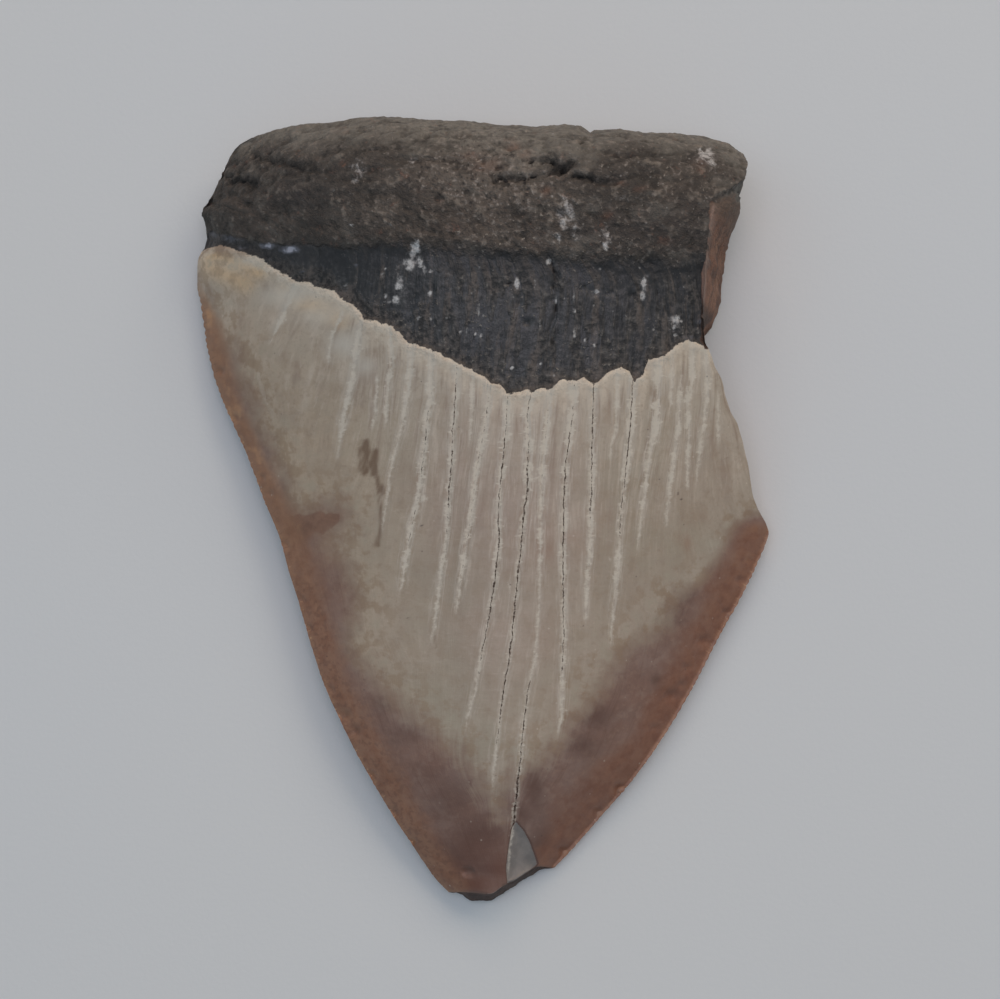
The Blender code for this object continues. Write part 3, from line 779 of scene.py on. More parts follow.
# root: swells, wrinkles that run across, grains and pores
lumps = fbm(P, (9.0, 6.0, 6.0), 3, seed=7)
knobs = fbm(P, (3.4, 1.8, 2.0), 3, 0.6, seed=9)
grain = fbm(P, 0.95, 3, 0.65, seed=11)
pore_a = ease(0.46, 0.10, cells(P, (1.7, 1.2, 1.3), seed=21))
pore_b = ease(0.42, 0.12, cells(P, 0.8, seed=23))
porous = fbm(P, 6.0, 2, seed=25)
calm = ease(-4, -18, X)  # the left lobe is worn smoother
pore_a = pore_a * ease(-0.15, 0.25, porous) * (1 - 0.6 * calm)
pore_b = pore_b * ease(-0.25, 0.2, porous + 0.1) * (1 - 0.5 * calm)
relief += is_root * (0.42 * lumps + 0.34 * knobs + (0.26 - 0.10 * calm) * grain)
relief -= is_root * (0.24 * pore_a + 0.15 * pore_b)
wrinkle = fbm(P, (7.0, 0.9, 2.2), 3, seed=27)
wrinkled = ease(0.05, 0.40, wrinkle) * np.clip(ease(34.5, 38.0, Y) * (1 - ease(43.2, 44.8, Y)) + 0.5 * calm, 0, 1)
relief -= is_root * 0.30 * wrinkled
height = (2.4 * knobs + 2.2 * grain - 1.1 * pore_a - 0.8 * pore_b - 0.8 * wrinkled) * is_root
# bourlette: striations that run with the veins, a grainy lower margin, small pits
stripe = np.stack([tags["s"] * 3.1, Y * 0.13, 0 * Y], 1)
stripes = 0.6 * noise(stripe, 51) + 0.4 * noise(stripe * [2.3, 2.0, 1], 53)
low_grain = ease(3.4, 0.4, -enamel + 0.8 * porous)
relief += is_bour * top * 0.15 * stripes
relief += is_bour * ((0.06 + 0.10 * low_grain) * grain - 0.14 * pore_b * np.clip(0.3 + low_grain, 0, 1))
height += is_bour * (1.7 * stripes + (0.8 + 1.4 * low_grain) * grain - 0.9 * pore_b)

# marks read from the photograph, in its pixels: pits, furrows, cracks and scars on the lingual face
crooked = np.stack([noise(P / 1.1, 63), noise(P / 1.1, 64)], 1) * 5.0 + np.stack([noise(P / 0.5, 65), noise(P / 0.5, 66)], 1) * 3.0
UW, VW = U + crooked[:, 0], V + crooked[:, 1] * 0.8
pits = spots(UW, VW, [
    (562, 168, 7.5, 6, 1.25), (556, 163, 4, 4, .8), (571, 164, 4, 3, .7), (531, 160, 3.2, 2.6, .6), (427, 135, 4, 3.0, .6),
    (461, 135, 3.4, 2.6, .6), (403, 133, 3.2, 2.2, .4), (497, 286, 3.0, 2.0, .35), (507, 284, 3.6, 1.8, .35),
    (583, 288, 3.2, 2.6, .5), (589, 290, 3.6, 2.2, .45), (593, 293, 3.0, 2.2, .45), (610, 294, 4.0, 2.2, .55),
    (633, 297, 4.0, 1.8, .35), (527, 322, 5.0, 2.2, .45), (518, 288, 2.4, 2.0, .2), (444, 141, 2.4, 2, .25),
    (515, 140, 2.6, 2.0, .3), (655, 150, 5, 2.0, .3), (240, 182, 8, 2.4, .35), (300, 150, 3, 2, .25), (330, 160, 3, 2, .2),
    (380, 133, 5, 2, .3), (545, 163, 3, 3, .4), (524, 157, 3, 2, .35), (567, 255, 4, 1.6, .3), (650, 262, 5, 2, .3),
    (671, 260, 4, 1.6, .25), (238, 196, 9, 2.0, .3), (364, 130, 4, 1.6, .3)])
furrows = strokes(UW, VW, [
    ([(494, 180), (510, 178), (524, 179), (537, 176)], 2.1, .6), ([(540, 175), (552, 171), (562, 168)], 2.6, .4),
    ([(574, 176), (586, 179), (600, 183), (612, 183), (620, 184)], 2.3, .62), ([(602, 181), (612, 178), (619, 181)], 1.9, .45),
    ([(488, 146), (500, 144), (512, 147)], 2.6, .3), ([(620, 155), (640, 152), (660, 155), (677, 152)], 2.6, .42),
    ([(252, 155), (262, 157), (274, 162), (286, 164), (301, 169)], 2.8, .5), ([(230, 180), (244, 181), (256, 184)], 2.8, .42),
    ([(228, 199), (238, 200), (247, 203)], 2.2, .25), ([(584, 129), (583, 137), (582, 146)], 2.0, .55),
    ([(640, 171), (655, 173), (672, 170)], 2.4, .22), ([(440, 158), (456, 156), (470, 159)], 2.2, .2),
    ([(214, 205), (222, 207)], 2.0, .2), ([(330, 176), (350, 179), (372, 177)], 2.5, .18),
    ([(262, 168), (276, 172), (296, 176)], 2.4, .3), ([(350, 130), (372, 128), (398, 130)], 2.0, .2)])
slits = strokes(UW, VW, [
    ([(552, 262), (555, 275), (553, 290), (555, 305), (552, 320), (553, 345)], 1.6, .34),
    ([(470, 250), (472, 262), (470, 272)], 1.4, .2), ([(620, 262), (622, 280), (620, 300)], 1.4, .2),
    ([(680, 275), (682, 292), (686, 305)], 1.6, .2), ([(655, 268), (657, 300)], 1.3, .18), ([(598, 300), (596, 335)], 1.3, .15),
    ([(517, 296), (519, 330)], 1.3, .15), ([(488, 262), (489, 300)], 1.3, .15)])
relief -= (top + root_wall * (wall < 0.4)) * (pits + furrows) * np.clip(1 + 0.6 * noise(P * 2.2, 61), 0.3, 1.7)
relief -= top * slits * is_bour
# spall beside the broken tip: a smooth shell-like scar
SPALL = [(512, 828), (516, 822), (524, 831), (530, 842), (534, 853), (538, 865), (528, 873), (515, 882), (508, 890), (506, 868), (509, 845)]
spall_px = inside(U, V, SPALL)
spall = ease(-1.5, 1.8, spall_px) * top
relief -= spall * (0.20 + 0.28 * ease(0, 12, spall_px))
chip_px = np.hypot((U - 468) / 7.0, (V - 872) / 4.0)
relief -= top * 0.30 * ease(1.15, 0.6, chip_px)
# chips and nicks on the cutting edges
NICKS = [(221, 371, 3.5, .30), (236, 418, 4, .32), (286, 545, 3, .2), (345, 716, 6, .42), (355, 731, 5.5, .40), (331, 690, 3, .22),
         (372, 775, 3.5, .25), (395, 812, 3.5, .25), (704, 641, 5.5, .36), (672, 696, 6, .45), (681, 686, 3.5, .25), (740, 580, 3.5, .25),
         (726, 613, 3.5, .25), (655, 728, 3.5, .22), (619, 789, 5, .32), (597, 812, 4, .28), (563, 851, 4, .28), (302, 600, 3, .2),
         (413, 842, 3, .2), (309, 628, 3, .2), (748, 560, 3, .2), (262, 478, 3, .2), (270, 494, 3, .2), (688, 668, 4, .25)]
nick = np.zeros(len(P))
for cx, cy, r, k in NICKS:
    nick = np.maximum(nick, k * np.exp(-(((U - cx) ** 2 + (V - cy) ** 2) / r**2)))
relief -= nick * (edge < 2.5) * (1 - under)
# broken faces
relief += fresh * (0.30 * fbm(P, (2.6, 1.6, 3.0), 4, 0.55, seed=71) + 0.10 * fbm(P, 0.8, 2, seed=73))
# the hidden labial face: its own swells, a few shrinkage cracks and the root's pores, all cut into the solid
lab = labial + 0.0
relief -= lab * is_enamel * (0.05 + 0.05 * fbm(P, 3.0, 3, seed=81))
lab_crack = np.abs(X - 2.5 - 0.10 * Y - 5.2 * np.round((X - 2.5 - 0.10 * Y) / 5.2) + 0.8 * noise(P * [0.2, 0.16, 0.2], 83))
relief -= lab * is_enamel * 0.10 * np.exp(-((lab_crack / 0.28) ** 2)) * ease(-0.1, 0.4, noise(P * [0.12, 0.07, 0.1], 85))

# serrations: small rounded teeth along both cutting edges, worn in places
moved = P.copy()
serration = np.zeros(len(P))
for name, sign, y_end in (("left", -1.0, 28.0), ("right", 1.0, -3.0)):
    ids = lines[name]
    q = P[ids]
    seg = np.hypot(*np.diff(q[:, :2], axis=0).T)
    run = np.concatenate([[0], np.cumsum(seg)])
    drift = 0.22 * np.sin(run * 0.9 + sign) + 0.15 * np.sin(run * 0.37 + 2.0)
    phase = (run + drift) / PITCH
    tooth = np.abs(np.sin(np.pi * phase)) ** 0.7
    keep = 0.55 + 0.45 * np.clip(1.6 * noise(np.stack([run * 0.35, 0 * run, 0 * run], 1), 91 + int(sign)) + 0.4, 0, 1)
    reach = (1 - ease(y_end - 4.0, y_end, q[:, 1])) * ease(-44.3, -43.0, q[:, 1])
    tangent = np.gradient(q[:, :2], axis=0)
    tangent /= np.linalg.norm(tangent, axis=1, keepdims=True) + 1e-9
    normal = np.stack([sign * tangent[:, 1], -sign * tangent[:, 0]], 1)
    bite = 0.20 * (1 - tooth) * keep * reach
    bite += nick[ids] * 1.0 * reach
    wobble = 0.10 * noise(np.stack([run * 0.5, 0 * run + 3.0, 0 * run], 1), 95 + int(sign))
    step = -bite + wobble
    moved[ids, 0] += normal[:, 0] * step
    moved[ids, 1] += normal[:, 1] * step
    moved[ids, 2] += (tooth - 0.6) * 0.12 * keep * reach
    serration[ids] = 1.0
relief *= 1 - 0.6 * serration


def triangles(face_sets):
    out = []
    for f in face_sets:
        if f.shape[1] == 3:
            out.append(f)
        else:
            out += [f[:, :3], f[:, [0, 2, 3]]]
    return np.vstack(out)


tri = triangles(face_sets)
normals = np.zeros_like(moved)
fn = np.cross(moved[tri[:, 1]] - moved[tri[:, 0]], moved[tri[:, 2]] - moved[tri[:, 0]])
for k in range(3):
    np.add.at(normals, tri[:, k], fn)
normals /= np.linalg.norm(normals, axis=1, keepdims=True) + 1e-12
moved += normals * relief[:, None]
# labial swells lift the middle of the face a little off the plane, never through it
swell = lab * np.clip(0.18 + 0.35 * fbm(P, (20.0, 24.0, 20.0), 2, seed=87), 0, 0.6)
moved[:, 2] += swell * ease(0.0, 3.0, np.minimum(edge, 12.0))
moved[:, 2] = np.maximum(moved[:, 2], 0.0)

# ---------------------------------------------------------------------------------------------------------------
# colour fields, kept on the mesh
# ---------------------------------------------------------------------------------------------------------------
PALE = [(180, 240), (186, 300), (208, 322), (228, 354), (243, 388), (256, 430), (270, 455), (280, 482), (288, 504), (300, 511),
        (313, 510), (321, 508), (331, 510), (346, 512), (342, 522), (326, 533), (322, 545), (334, 560), (345, 575), (352, 592),
        (356, 604), (350, 620), (344, 632), (346, 648), (356, 664), (376, 686), (392, 704), (412, 720), (432, 735), (448, 748),
        (462, 764), (476, 782), (488, 800), (499, 818), (506, 802), (514, 786), (522, 774), (540, 768), (556, 754),
        (570, 732), (588, 706), (608, 682), (628, 656), (650, 642), (666, 628), (672, 606), (688, 594), (704, 580),
        (718, 562), (728, 545), (737, 524), (752, 516), (790, 500), (790, 240)]
pale_px = inside(U + crooked[:, 0] * 0.6, V + crooked[:, 1] * 0.6, PALE)
purple = -pale_px / PX_PER_MM                      # mm into the brown zone
purple = purple * (1 + 1.1 * ease(660, 705, U) * ease(650, 600, V))   # its border is crisper at the right corner
patch = strokes(U, V, [
    ([(311, 512), (317, 504), (320, 499)], 3.4, .45), ([(356, 616), (360, 628)], 7, .5), ([(239, 350), (243, 354)], 4, .45),
    ([(262, 425), (280, 450), (296, 474)], 9, .3), ([(376, 655), (382, 668)], 6, .2)])
FINGER = [(292, 514), (306, 512), (320, 511), (333, 512), (343, 512), (341, 519), (336, 526), (328, 533), (314, 536), (303, 544), (294, 552), (284, 545), (282, 520)]
patch = np.maximum(patch, 0.92 * ease(-4.6, 4.2, inside(U + crooked[:, 0] * 0.6, V + crooked[:, 1] * 0.6, FINGER)))
deep = spots(U, V, [(596, 716, 22, 16, .65), (583, 745, 20, 14, .6), (667, 613, 20, 14, .55), (667, 690, 10, 7, 1.0), (657, 680, 7, 5, .7),
                    (684, 598, 12, 8, .5), (535, 790, 11, 26, .65), (520, 815, 16, 14, .6), (410, 735, 30, 16, .45), (382, 705, 14, 10, .45),
                    (450, 800, 34, 30, .55), (480, 836, 34, 26, .75), (430, 776, 24, 18, .4), (455, 874, 22, 12, .8), (488, 868, 24, 12, .85),
                    (500, 796, 9, 14, .5), (545, 845, 22, 22, .7), (470, 855, 40, 26, .75), (390, 772, 14, 20, .3)])
stain = strokes(U, V, [
    ([(359, 446), (360, 458), (360, 470)], 3.2, .62), ([(366, 442), (365.5, 458), (365, 472)], 4.2, .95), ([(375, 452), (374, 464), (374, 473)], 4.4, 1.0),
    ([(382, 487), (383, 492)], 4.4, .80), ([(377, 476), (379, 490), (381, 508), (381, 528), (378, 545)], 2.9, .72), ([(354, 414), (356, 424)], 5, .28),
    ([(379, 536), (377, 544)], 3.6, .6), ([(435, 636), (436, 648)], 2.0, .55)])
warm = spots(U, V, [(322, 560, 16, 30, .6), (340, 600, 12, 22, .35), (545, 553, 13, 19, .8), (548, 530, 8, 12, .4), (687, 543, 5, 9, .9), (679, 537, 6, 6, .35), (574, 536, 7, 6, .45),
                    (560, 700, 10, 22, .3), (700, 520, 14, 10, .25), (540, 640, 16, 22, .25), (386, 690, 18, 10, .3),
                    (620, 775, 26, 18, .9), (634, 760, 20, 16, .7), (430, 745, 26, 10, .3), (372, 655, 12, 8, .35), (396, 694, 14, 9, .35),
                    (520, 420, 8, 20, .3), (497, 430, 6, 26, .35), (575, 410, 6, 24, .35), (609, 410, 6, 26, .35), (465, 420, 6, 26, .3)])
cream = strokes(U, V, [
    ([(208, 254), (222, 254), (240, 261), (258, 270)], 9, 1.0), ([(210, 266), (226, 274), (246, 284)], 10, .7),
    ([(284, 294), (306, 303), (326, 312), (340, 320)], 8, .6)])
specks = spots(U, V, [
    (469, 605, 1.6, 1.4, 1), (407, 618, 1.4, 1.4, .8), (368, 505, 1.4, 1.4, .8), (422, 526, 1.7, 1.6, .9), (662, 557, 1.8, 1.6, .9), (641, 581, 1.8, 1.8, .9),
    (583, 626, 1.5, 1.5, .8), (557, 550, 1.4, 1.4, .7), (430, 644, 1.6, 2.4, .8), (538, 659, 2.0, 1.2, .7), (395, 694, 1.5, 1.5, .6), (540, 521, 1.6, 1.6, .6),
    (590, 574, 2.0, 1.4, .9), (372, 709, 1.5, 1.5, .6), (494, 717, 1.6, 1.4, .8), (497, 758, 1.8, 1.8, .7), (560, 746, 2, 2, .6),
    (647, 632, 1.4, 1.4, .6), (660, 575, 1.4, 1.4, .5), (463, 727, 1.5, 3.0, .5), (375, 612, 1.4, 1.4, .5), (668, 613, 1.4, 1.4, .5)])
specks = np.maximum(specks, strokes(U, V, [([(677, 492), (681, 499)], 1.2, .9)]))
SW, TW = U + crooked[:, 0] * 0.25, V + crooked[:, 1] * 0.5
scars = spots(SW, TW, [(u, v, p * 1.15, q * 1.15, k * 1.35) if p <= 2.6 else (u, v, p, q, k) for u, v, p, q, k in [
    (707, 153, 9, 6, .95), (702, 150, 4, 4, .8), (711, 161, 4, 5, .9), (714, 166, 3, 4, .7), (566, 206, 4, 7, .7), (571, 215, 5, 8, .75),
    (563, 224, 5, 8, .7), (575, 228, 4, 7, .62), (558, 236, 5, 6, .66), (607, 236, 3, 3.6, .9), (605, 246, 3.6, 5, .95), (549, 262, 4, 4, .85),
    (517, 284, 2.6, 5, .95), (645, 284, 2.6, 6, .85), (644, 296, 2.6, 6, .8), (677, 320, 5, 5, .95), (676, 326, 4, 4, .8), (677, 336, 3, 3, .85),
    (597, 292, 3.4, 2.4, .9), (563, 200, 3, 4, .6), (600, 236, 3, 3, .5), (622, 200, 3.4, 4, .6), (628, 197, 3, 3, .6),
    (357, 168, 4, 6, .6), (353, 180, 4, 6, .6), (349, 195, 3, 8, .45), (412, 163, 5, 3.4, .6), (390, 190, 3, 5, .4), (352, 225, 4, 4, .65),
    (390, 226, 3, 4, .6), (413, 250, 5, 9, 1.0), (417, 246, 3.6, 9, 1.0), (409, 265, 5, 9, 1.0), (405, 262, 4, 5, .8), (399, 277, 4, 6, .8),
    (398, 286, 5, 6, .95), (395, 301, 5, 5, .95), (388, 302, 3, 3, .6), (384, 270, 3, 3, .7), (381, 275, 3, 2.4, .6), (430, 272, 3, 2.6, .9), (420, 262, 2.6, 6, .8), (424, 270, 2.4, 4, .7), (429, 295, 2.4, 2.4, .8),
    (418, 318, 2.2, 2.2, .9), (343, 287, 4, 3, .65), (347, 284, 3, 2.6, .6), (398, 316, 2.4, 3, .5), (384, 296, 2.4, 4, .5),
    (455, 197, 5, 3, .5), (438, 205, 4, 3, .4), (590, 205, 4, 3, .4), (612, 228, 3, 3, .4), (480, 336, 2.2, 2.2, .6), (512, 368, 2.0, 2.0, 1.0),
    (541, 365, 2, 2, .7), (575, 332, 3, 2.2, .7), (575, 336, 2.4, 2.2, .6), (590, 335, 1.6, 3.2, .7), (470, 290, 2.0, 6, .5), (478, 310, 2.0, 8, .45),
    (466, 332, 2.4, 8, .4), (535, 285, 2.0, 8, .45), (540, 325, 2.2, 7, .4), (556, 300, 2.0, 5, .5), (574, 298, 1.8, 6, .45), (560, 350, 3, 2.4, .5),
    (460, 332, 1.8, 2, .7), (474, 333, 2, 2, .7), (500, 348, 1.8, 1.8, .5), (595, 345, 2.0, 2.4, .6), (614, 312, 2.4, 3, .4), (430, 318, 2.4, 5, .4),
    (575, 310, 2, 3, .5), (683, 322, 3, 3, .7), (478, 268, 2, 4, .4), (505, 275, 2, 6, .45), (512, 296, 2, 3, .5), (586, 340, 2, 2, .5),
    (640, 268, 2.4, 3, .4), (560, 240, 3, 3, .6), (607, 215, 5, 3, .4), (462, 190, 6, 3, .45), (470, 205, 4, 3, .45), (447, 188, 4, 3, .45)]])
glints = spots(U, V, [
    (505, 405, 5, 10, .6), (512, 415, 5, 9, .6), (519, 402, 4, 9, .6), (532, 448, 7, 10, .9), (531, 468, 5, 9, .8), (534, 480, 4, 7, .6),
    (424, 498, 6, 5, .95), (418, 501, 4, 9, .7), (431, 497, 4, 3, .6), (460, 431, 4, 6, .9), (569, 427, 6, 7, .9), (566, 467, 5, 7, .8),
    (571, 484, 4, 6, .6), (584, 400, 3, 8, .3), (537, 655, 5, 4, .8), (529, 692, 5, 9, .6), (509, 586, 5, 9, .7), (504, 661, 5, 7, .6),
    (656, 382, 5, 14, .8), (655, 405, 4, 12, .7), (600, 395, 5, 8, .3), (617, 375, 8, 7, .5), (532, 396, 9, 6, .4), (576, 387, 8, 6, .4),
    (650, 430, 4, 12, .6), (645, 455, 3, 12, .45), (438, 568, 3.4, 9, .5), (448, 512, 3.4, 8, .5), (500, 548, 4, 9, .6), (498, 500, 4, 12, .5),
    (621, 500, 3.4, 8, .5), (610, 559, 4, 5, .6), (676, 540, 2.4, 2.4, .7), (490, 700, 7, 16, .3), (469, 715, 6, 18, .3), (687, 646, 4, 7, .5),
    (463, 866, 7, 2.4, .7), (556, 728, 5, 10, .3), (504, 420, 4, 24, .5), (526, 430, 5, 22, .5), (546, 425, 4, 16, .5), (566, 402, 4, 12, .5),
    (592, 450, 4, 12, .5), (586, 575, 4, 10, .45), (562, 575, 3, 14, .4), (614, 588, 4, 10, .5), (474, 480, 3.4, 12, .5), (468, 528, 3.4, 12, .5),
    (412, 520, 3, 12, .5), (406, 360, 4, 8, .5), (410, 378, 4, 9, .6), (432, 366, 4, 10, .5), (486, 392, 4, 12, .5), (679, 405, 3, 12, .5),
    (692, 385, 3, 10, .4), (665, 450, 3, 14, .4), (334, 326, 4, 6, .5), (330, 342, 4, 7, .6), (397, 455, 4, 14, .35), (388, 490, 4, 12, .35)])
tan = top * np.exp(-(((U - 487) / 66.0) ** 2 + ((V - 176) / 28.0) ** 2))
# painted shade: the root darker in its low right part and towards its left end, where it turns from the light
dark = spots(U, V, [(650, 230, 90, 22, 1.0), (705, 228, 40, 36, 1.0), (300, 194, 44, 16, .9), (255, 190, 36, 16, .5), (290, 172, 40, 12, .6),
                    (600, 182, 44, 10, .5), (400, 186, 30, 14, .35), (440, 250, 60, 8, .4)])
rust_spot = spots(UW, VW, [(343, 163, 3, 2.4, .9), (640, 190, 5, 3, .3), (340, 128, 6, 3, .3), (421, 188, 4, 3, .3), (608, 214, 5, 4, .5),
                           (700, 165, 6, 8, .25), (526, 155, 8, 4, .35), (487, 165, 14, 6, .3), (547, 192, 5, 4, .5), (620, 184, 5, 3, .6),
                           (512, 146, 6, 4, .5), (665, 240, 6, 3, .3), (470, 155, 10, 4, .3)])
# painted shade on the walls and underside below the root's right end
dark = np.where(on_top, dark, 0.9 * (X > 20.0) * (Y > 28.0))
for field in (patch, deep, stain, warm, cream, specks, scars, glints, rust_spot):
    field *= np.where(on_top, 1.0, 0.0)
dusting = np.clip(spots(U + crooked[:, 0] * 0.6, V + crooked[:, 1], [
    (566, 214, 12, 22, .95), (574, 236, 11, 12, .6), (556, 238, 8, 9, .6), (607, 238, 8, 15, .75), (612, 214, 10, 7, .5), (623, 200, 11, 6, .7),
    (400, 282, 15, 30, .55), (413, 258, 11, 18, .7), (706, 157, 15, 12, .9), (716, 170, 7, 8, .6), (517, 284, 7, 9, .6), (645, 288, 7, 17, .8),
    (640, 262, 12, 8, .35), (676, 326, 13, 12, .75), (553, 262, 9, 7, .55), (596, 292, 12, 6, .6), (575, 333, 8, 7, .6), (358, 170, 13, 16, .7),
    (412, 163, 10, 6, .6), (350, 196, 6, 16, .5), (352, 226, 8, 8, .5), (390, 227, 7, 7, .5), (438, 228, 8, 6, .35), (457, 196, 12, 6, .5),
    (590, 206, 10, 8, .45), (697, 220, 8, 6, .3), (478, 310, 8, 26, .35), (510, 350, 22, 12, .3), (430, 320, 20, 10, .3), (590, 345, 20, 10, .3),
    (395, 190, 10, 9, .4), (545, 365, 24, 6, .35), (375, 300, 12, 10, .3), (340, 284, 14, 7, .35), (470, 268, 20, 8, .3)]), 0, 1) * on_top
lift = np.clip(spots(U, V, [(712, 548, 15, 13, .12), (694, 574, 13, 12, .08), (250, 262, 22, 8, .6), (290, 296, 26, 12, 1.0), (322, 314, 22, 12, .8), (346, 345, 18, 13, .9), (364, 366, 14, 11, .8)]), 0, 1) * top
tip_dark = np.clip(spots(U, V, [(470, 884, 34, 11, 1.0), (448, 872, 22, 18, .8), (500, 868, 18, 22, .6), (436, 850, 16, 26, .45), (478, 850, 30, 24, .4),
                                (560, 850, 16, 10, .4)]), 0, 1) * np.where(on_top, 1.0, 0.0)
FACE = [(709, 203), (724, 201), (738, 198), (752, 205), (748, 260), (735, 310), (705, 352), (702, 340), (703, 300), (703, 272), (707, 245),
        (709, 225)]
face_px = inside(U + crooked[:, 0] * 0.25, V + crooked[:, 1] * 0.25, FACE)
face_line = strokes(U, V, [([(713, 207), (710, 225), (708.5, 245), (705, 268), (704.5, 300), (704.5, 330)], 1.7, 1.0)]) * (on_top | right_side)
fresh_root_color = np.maximum(fresh_root, 0.9 * ease(-0.8, 1.2, face_px) * on_top * (Y > 17.0)) * (1 - ease(32.4, 35.0, Y + 0.8 * noise(P / 1.2, 91)))
purple = np.where(on_top, purple, 1.2 - 0.28 * np.minimum(edge, 14) * ease(-38.0, -24.0, Y) + 0.08 * np.clip(-Y - 20, 0, 20))

FIELDS = {
    "s": tags["s"], "gap": tags["gap"] * np.where(on_top, 1.0, 0.0) + np.where(on_top, 0.0, 6.0),
    "white": tags["white"] * top, "black": tags["black"] * top, "enamel": np.clip(enamel, -12, 40), "root": np.clip(root, -12, 20),
    "edge": edge, "arc": arc, "rust": np.clip(rust, 0, 4), "purple": np.clip(purple, -6, 6), "patch": patch, "deep": deep,
    "stain": stain, "warm": warm, "cream": cream, "specks": specks, "scars": scars, "glints": glints, "tan": tan, "dark": dark,
    "rustspot": rust_spot, "spall": spall, "pit": np.clip((pits + furrows) * (on_top | (root_wall & (wall < 0.4))) + slits * top * is_bour, 0, 1.5),
    "freshroot": fresh_root_color, "tipdark": tip_dark, "dusting": dusting, "facetop": ease(29.5, 33.5, Y) * ease(20.0, 24.0, X), "facelow": ease(23.0, 21.2, Y) * (X > 20) * ease(5.6, 7.0, P[:, 2]), "lift": lift, "faceline": face_line, "freshside": fresh_side, "freshtip": fresh_tip, "under": under, "height": np.clip(height, -2, 2),
    "mauve": spots(U, V, [(505, 490, 105, 120, 1.0), (480, 620, 60, 70, .5), (470, 395, 70, 24, .6)]) * top,
    "margin": ease(3.4, 0.4, -enamel) * (enamel < 0.5), "redder": np.where(nearer_left, 0.0, 1.0) * top,
    # painted highlights: pale bluish reflections of the window on the glossy bourlette and the right face
    "painted_highlight": spots(U, V, [(267, 245, 10, 4.6, 1.1), (288, 250, 11, 4.4, 1.1), (232, 238, 18, 7, .55), (212, 232, 10, 8, .5),
                          (266, 246, 7, 2.6, .7), (288, 251, 8, 2.8, .7), (355, 266, 4, 3, .6), (344, 290, 4, 3, .6), (300, 272, 5, 3, .5), (320, 262, 5, 3, .35),
                          (264, 260, 10, 4, .45), (240, 248, 10, 4, .5), (370, 285, 4, 5, .4), (700, 322, 6, 5, .5), (690, 338, 12, 5, .5)]) * top,
    "leftward": ease(470, 300, U) * top, "amber": np.where(nearer_left, ease(-16.0, 4.0, Y), 0.15 * ease(-20, -6, Y)) * top,
    # high: low along the root's top end, where the paler rim is painted: partly worn surface, partly painted light from
    # above
    "high": np.clip(np.where(on_top, root_end_y(X) - Y, 0.0), 0, 30) / np.interp(X, [-30, -20, -10, 0, 30], [3.6, 4.6, 6.0, 7.2, 6.6])
    + np.where(under > 0.4, 1.0, 0.0) + 0.40 * ease(9.0, 18.0, X) + 0.30 * ease(-20.0, -25.0, X) + np.where(on_top, 0.0, 0.35 * ease(16.0, 24.0, X)),
    "cutedge": np.where(nearer_left, 1 - ease(24.0, 29.0, Y), 1 - ease(-2.6, -1.2, Y)),
}

# ---------------------------------------------------------------------------------------------------------------
# the mesh
# ---------------------------------------------------------------------------------------------------------------
final = (moved + SHIFT) * MM
faces = [tuple(f) for fs in face_sets for f in fs.tolist()]
mesh = bpy.data.meshes.new("fossil_tooth")
mesh.from_pydata(final.tolist(), [], faces)
mesh.update()
for name, values in FIELDS.items():
    layer = mesh.attributes.new(name, "FLOAT", "POINT")
    layer.data.foreach_set("value", np.asarray(values, np.float32))
mesh.shade_smooth()
mesh.set_sharp_from_angle(angle=math.radians(62))
tooth = bpy.data.objects.new("fossil_tooth", mesh)
bpy.context.scene.collection.objects.link(tooth)
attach(tooth, "root")
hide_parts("tooth")

# ---------------------------------------------------------------------------------------------------------------
# materials
# ---------------------------------------------------------------------------------------------------------------
LIGHT = 0.625  # how bright a white surface facing up is in this light, so a colour as seen can be turned into paint


def seen(r, g, b, light=LIGHT):
    """The paint that looks like this 0-255 screen colour under the scene's light."""
    out = []
    for c in (r, g, b):
        c /= 255.0
        c = c / 12.92 if c <= 0.04045 else ((c + 0.055) / 1.055) ** 2.4
        out.append(min(c / light, 0.95))
    return (*out, 1.0)


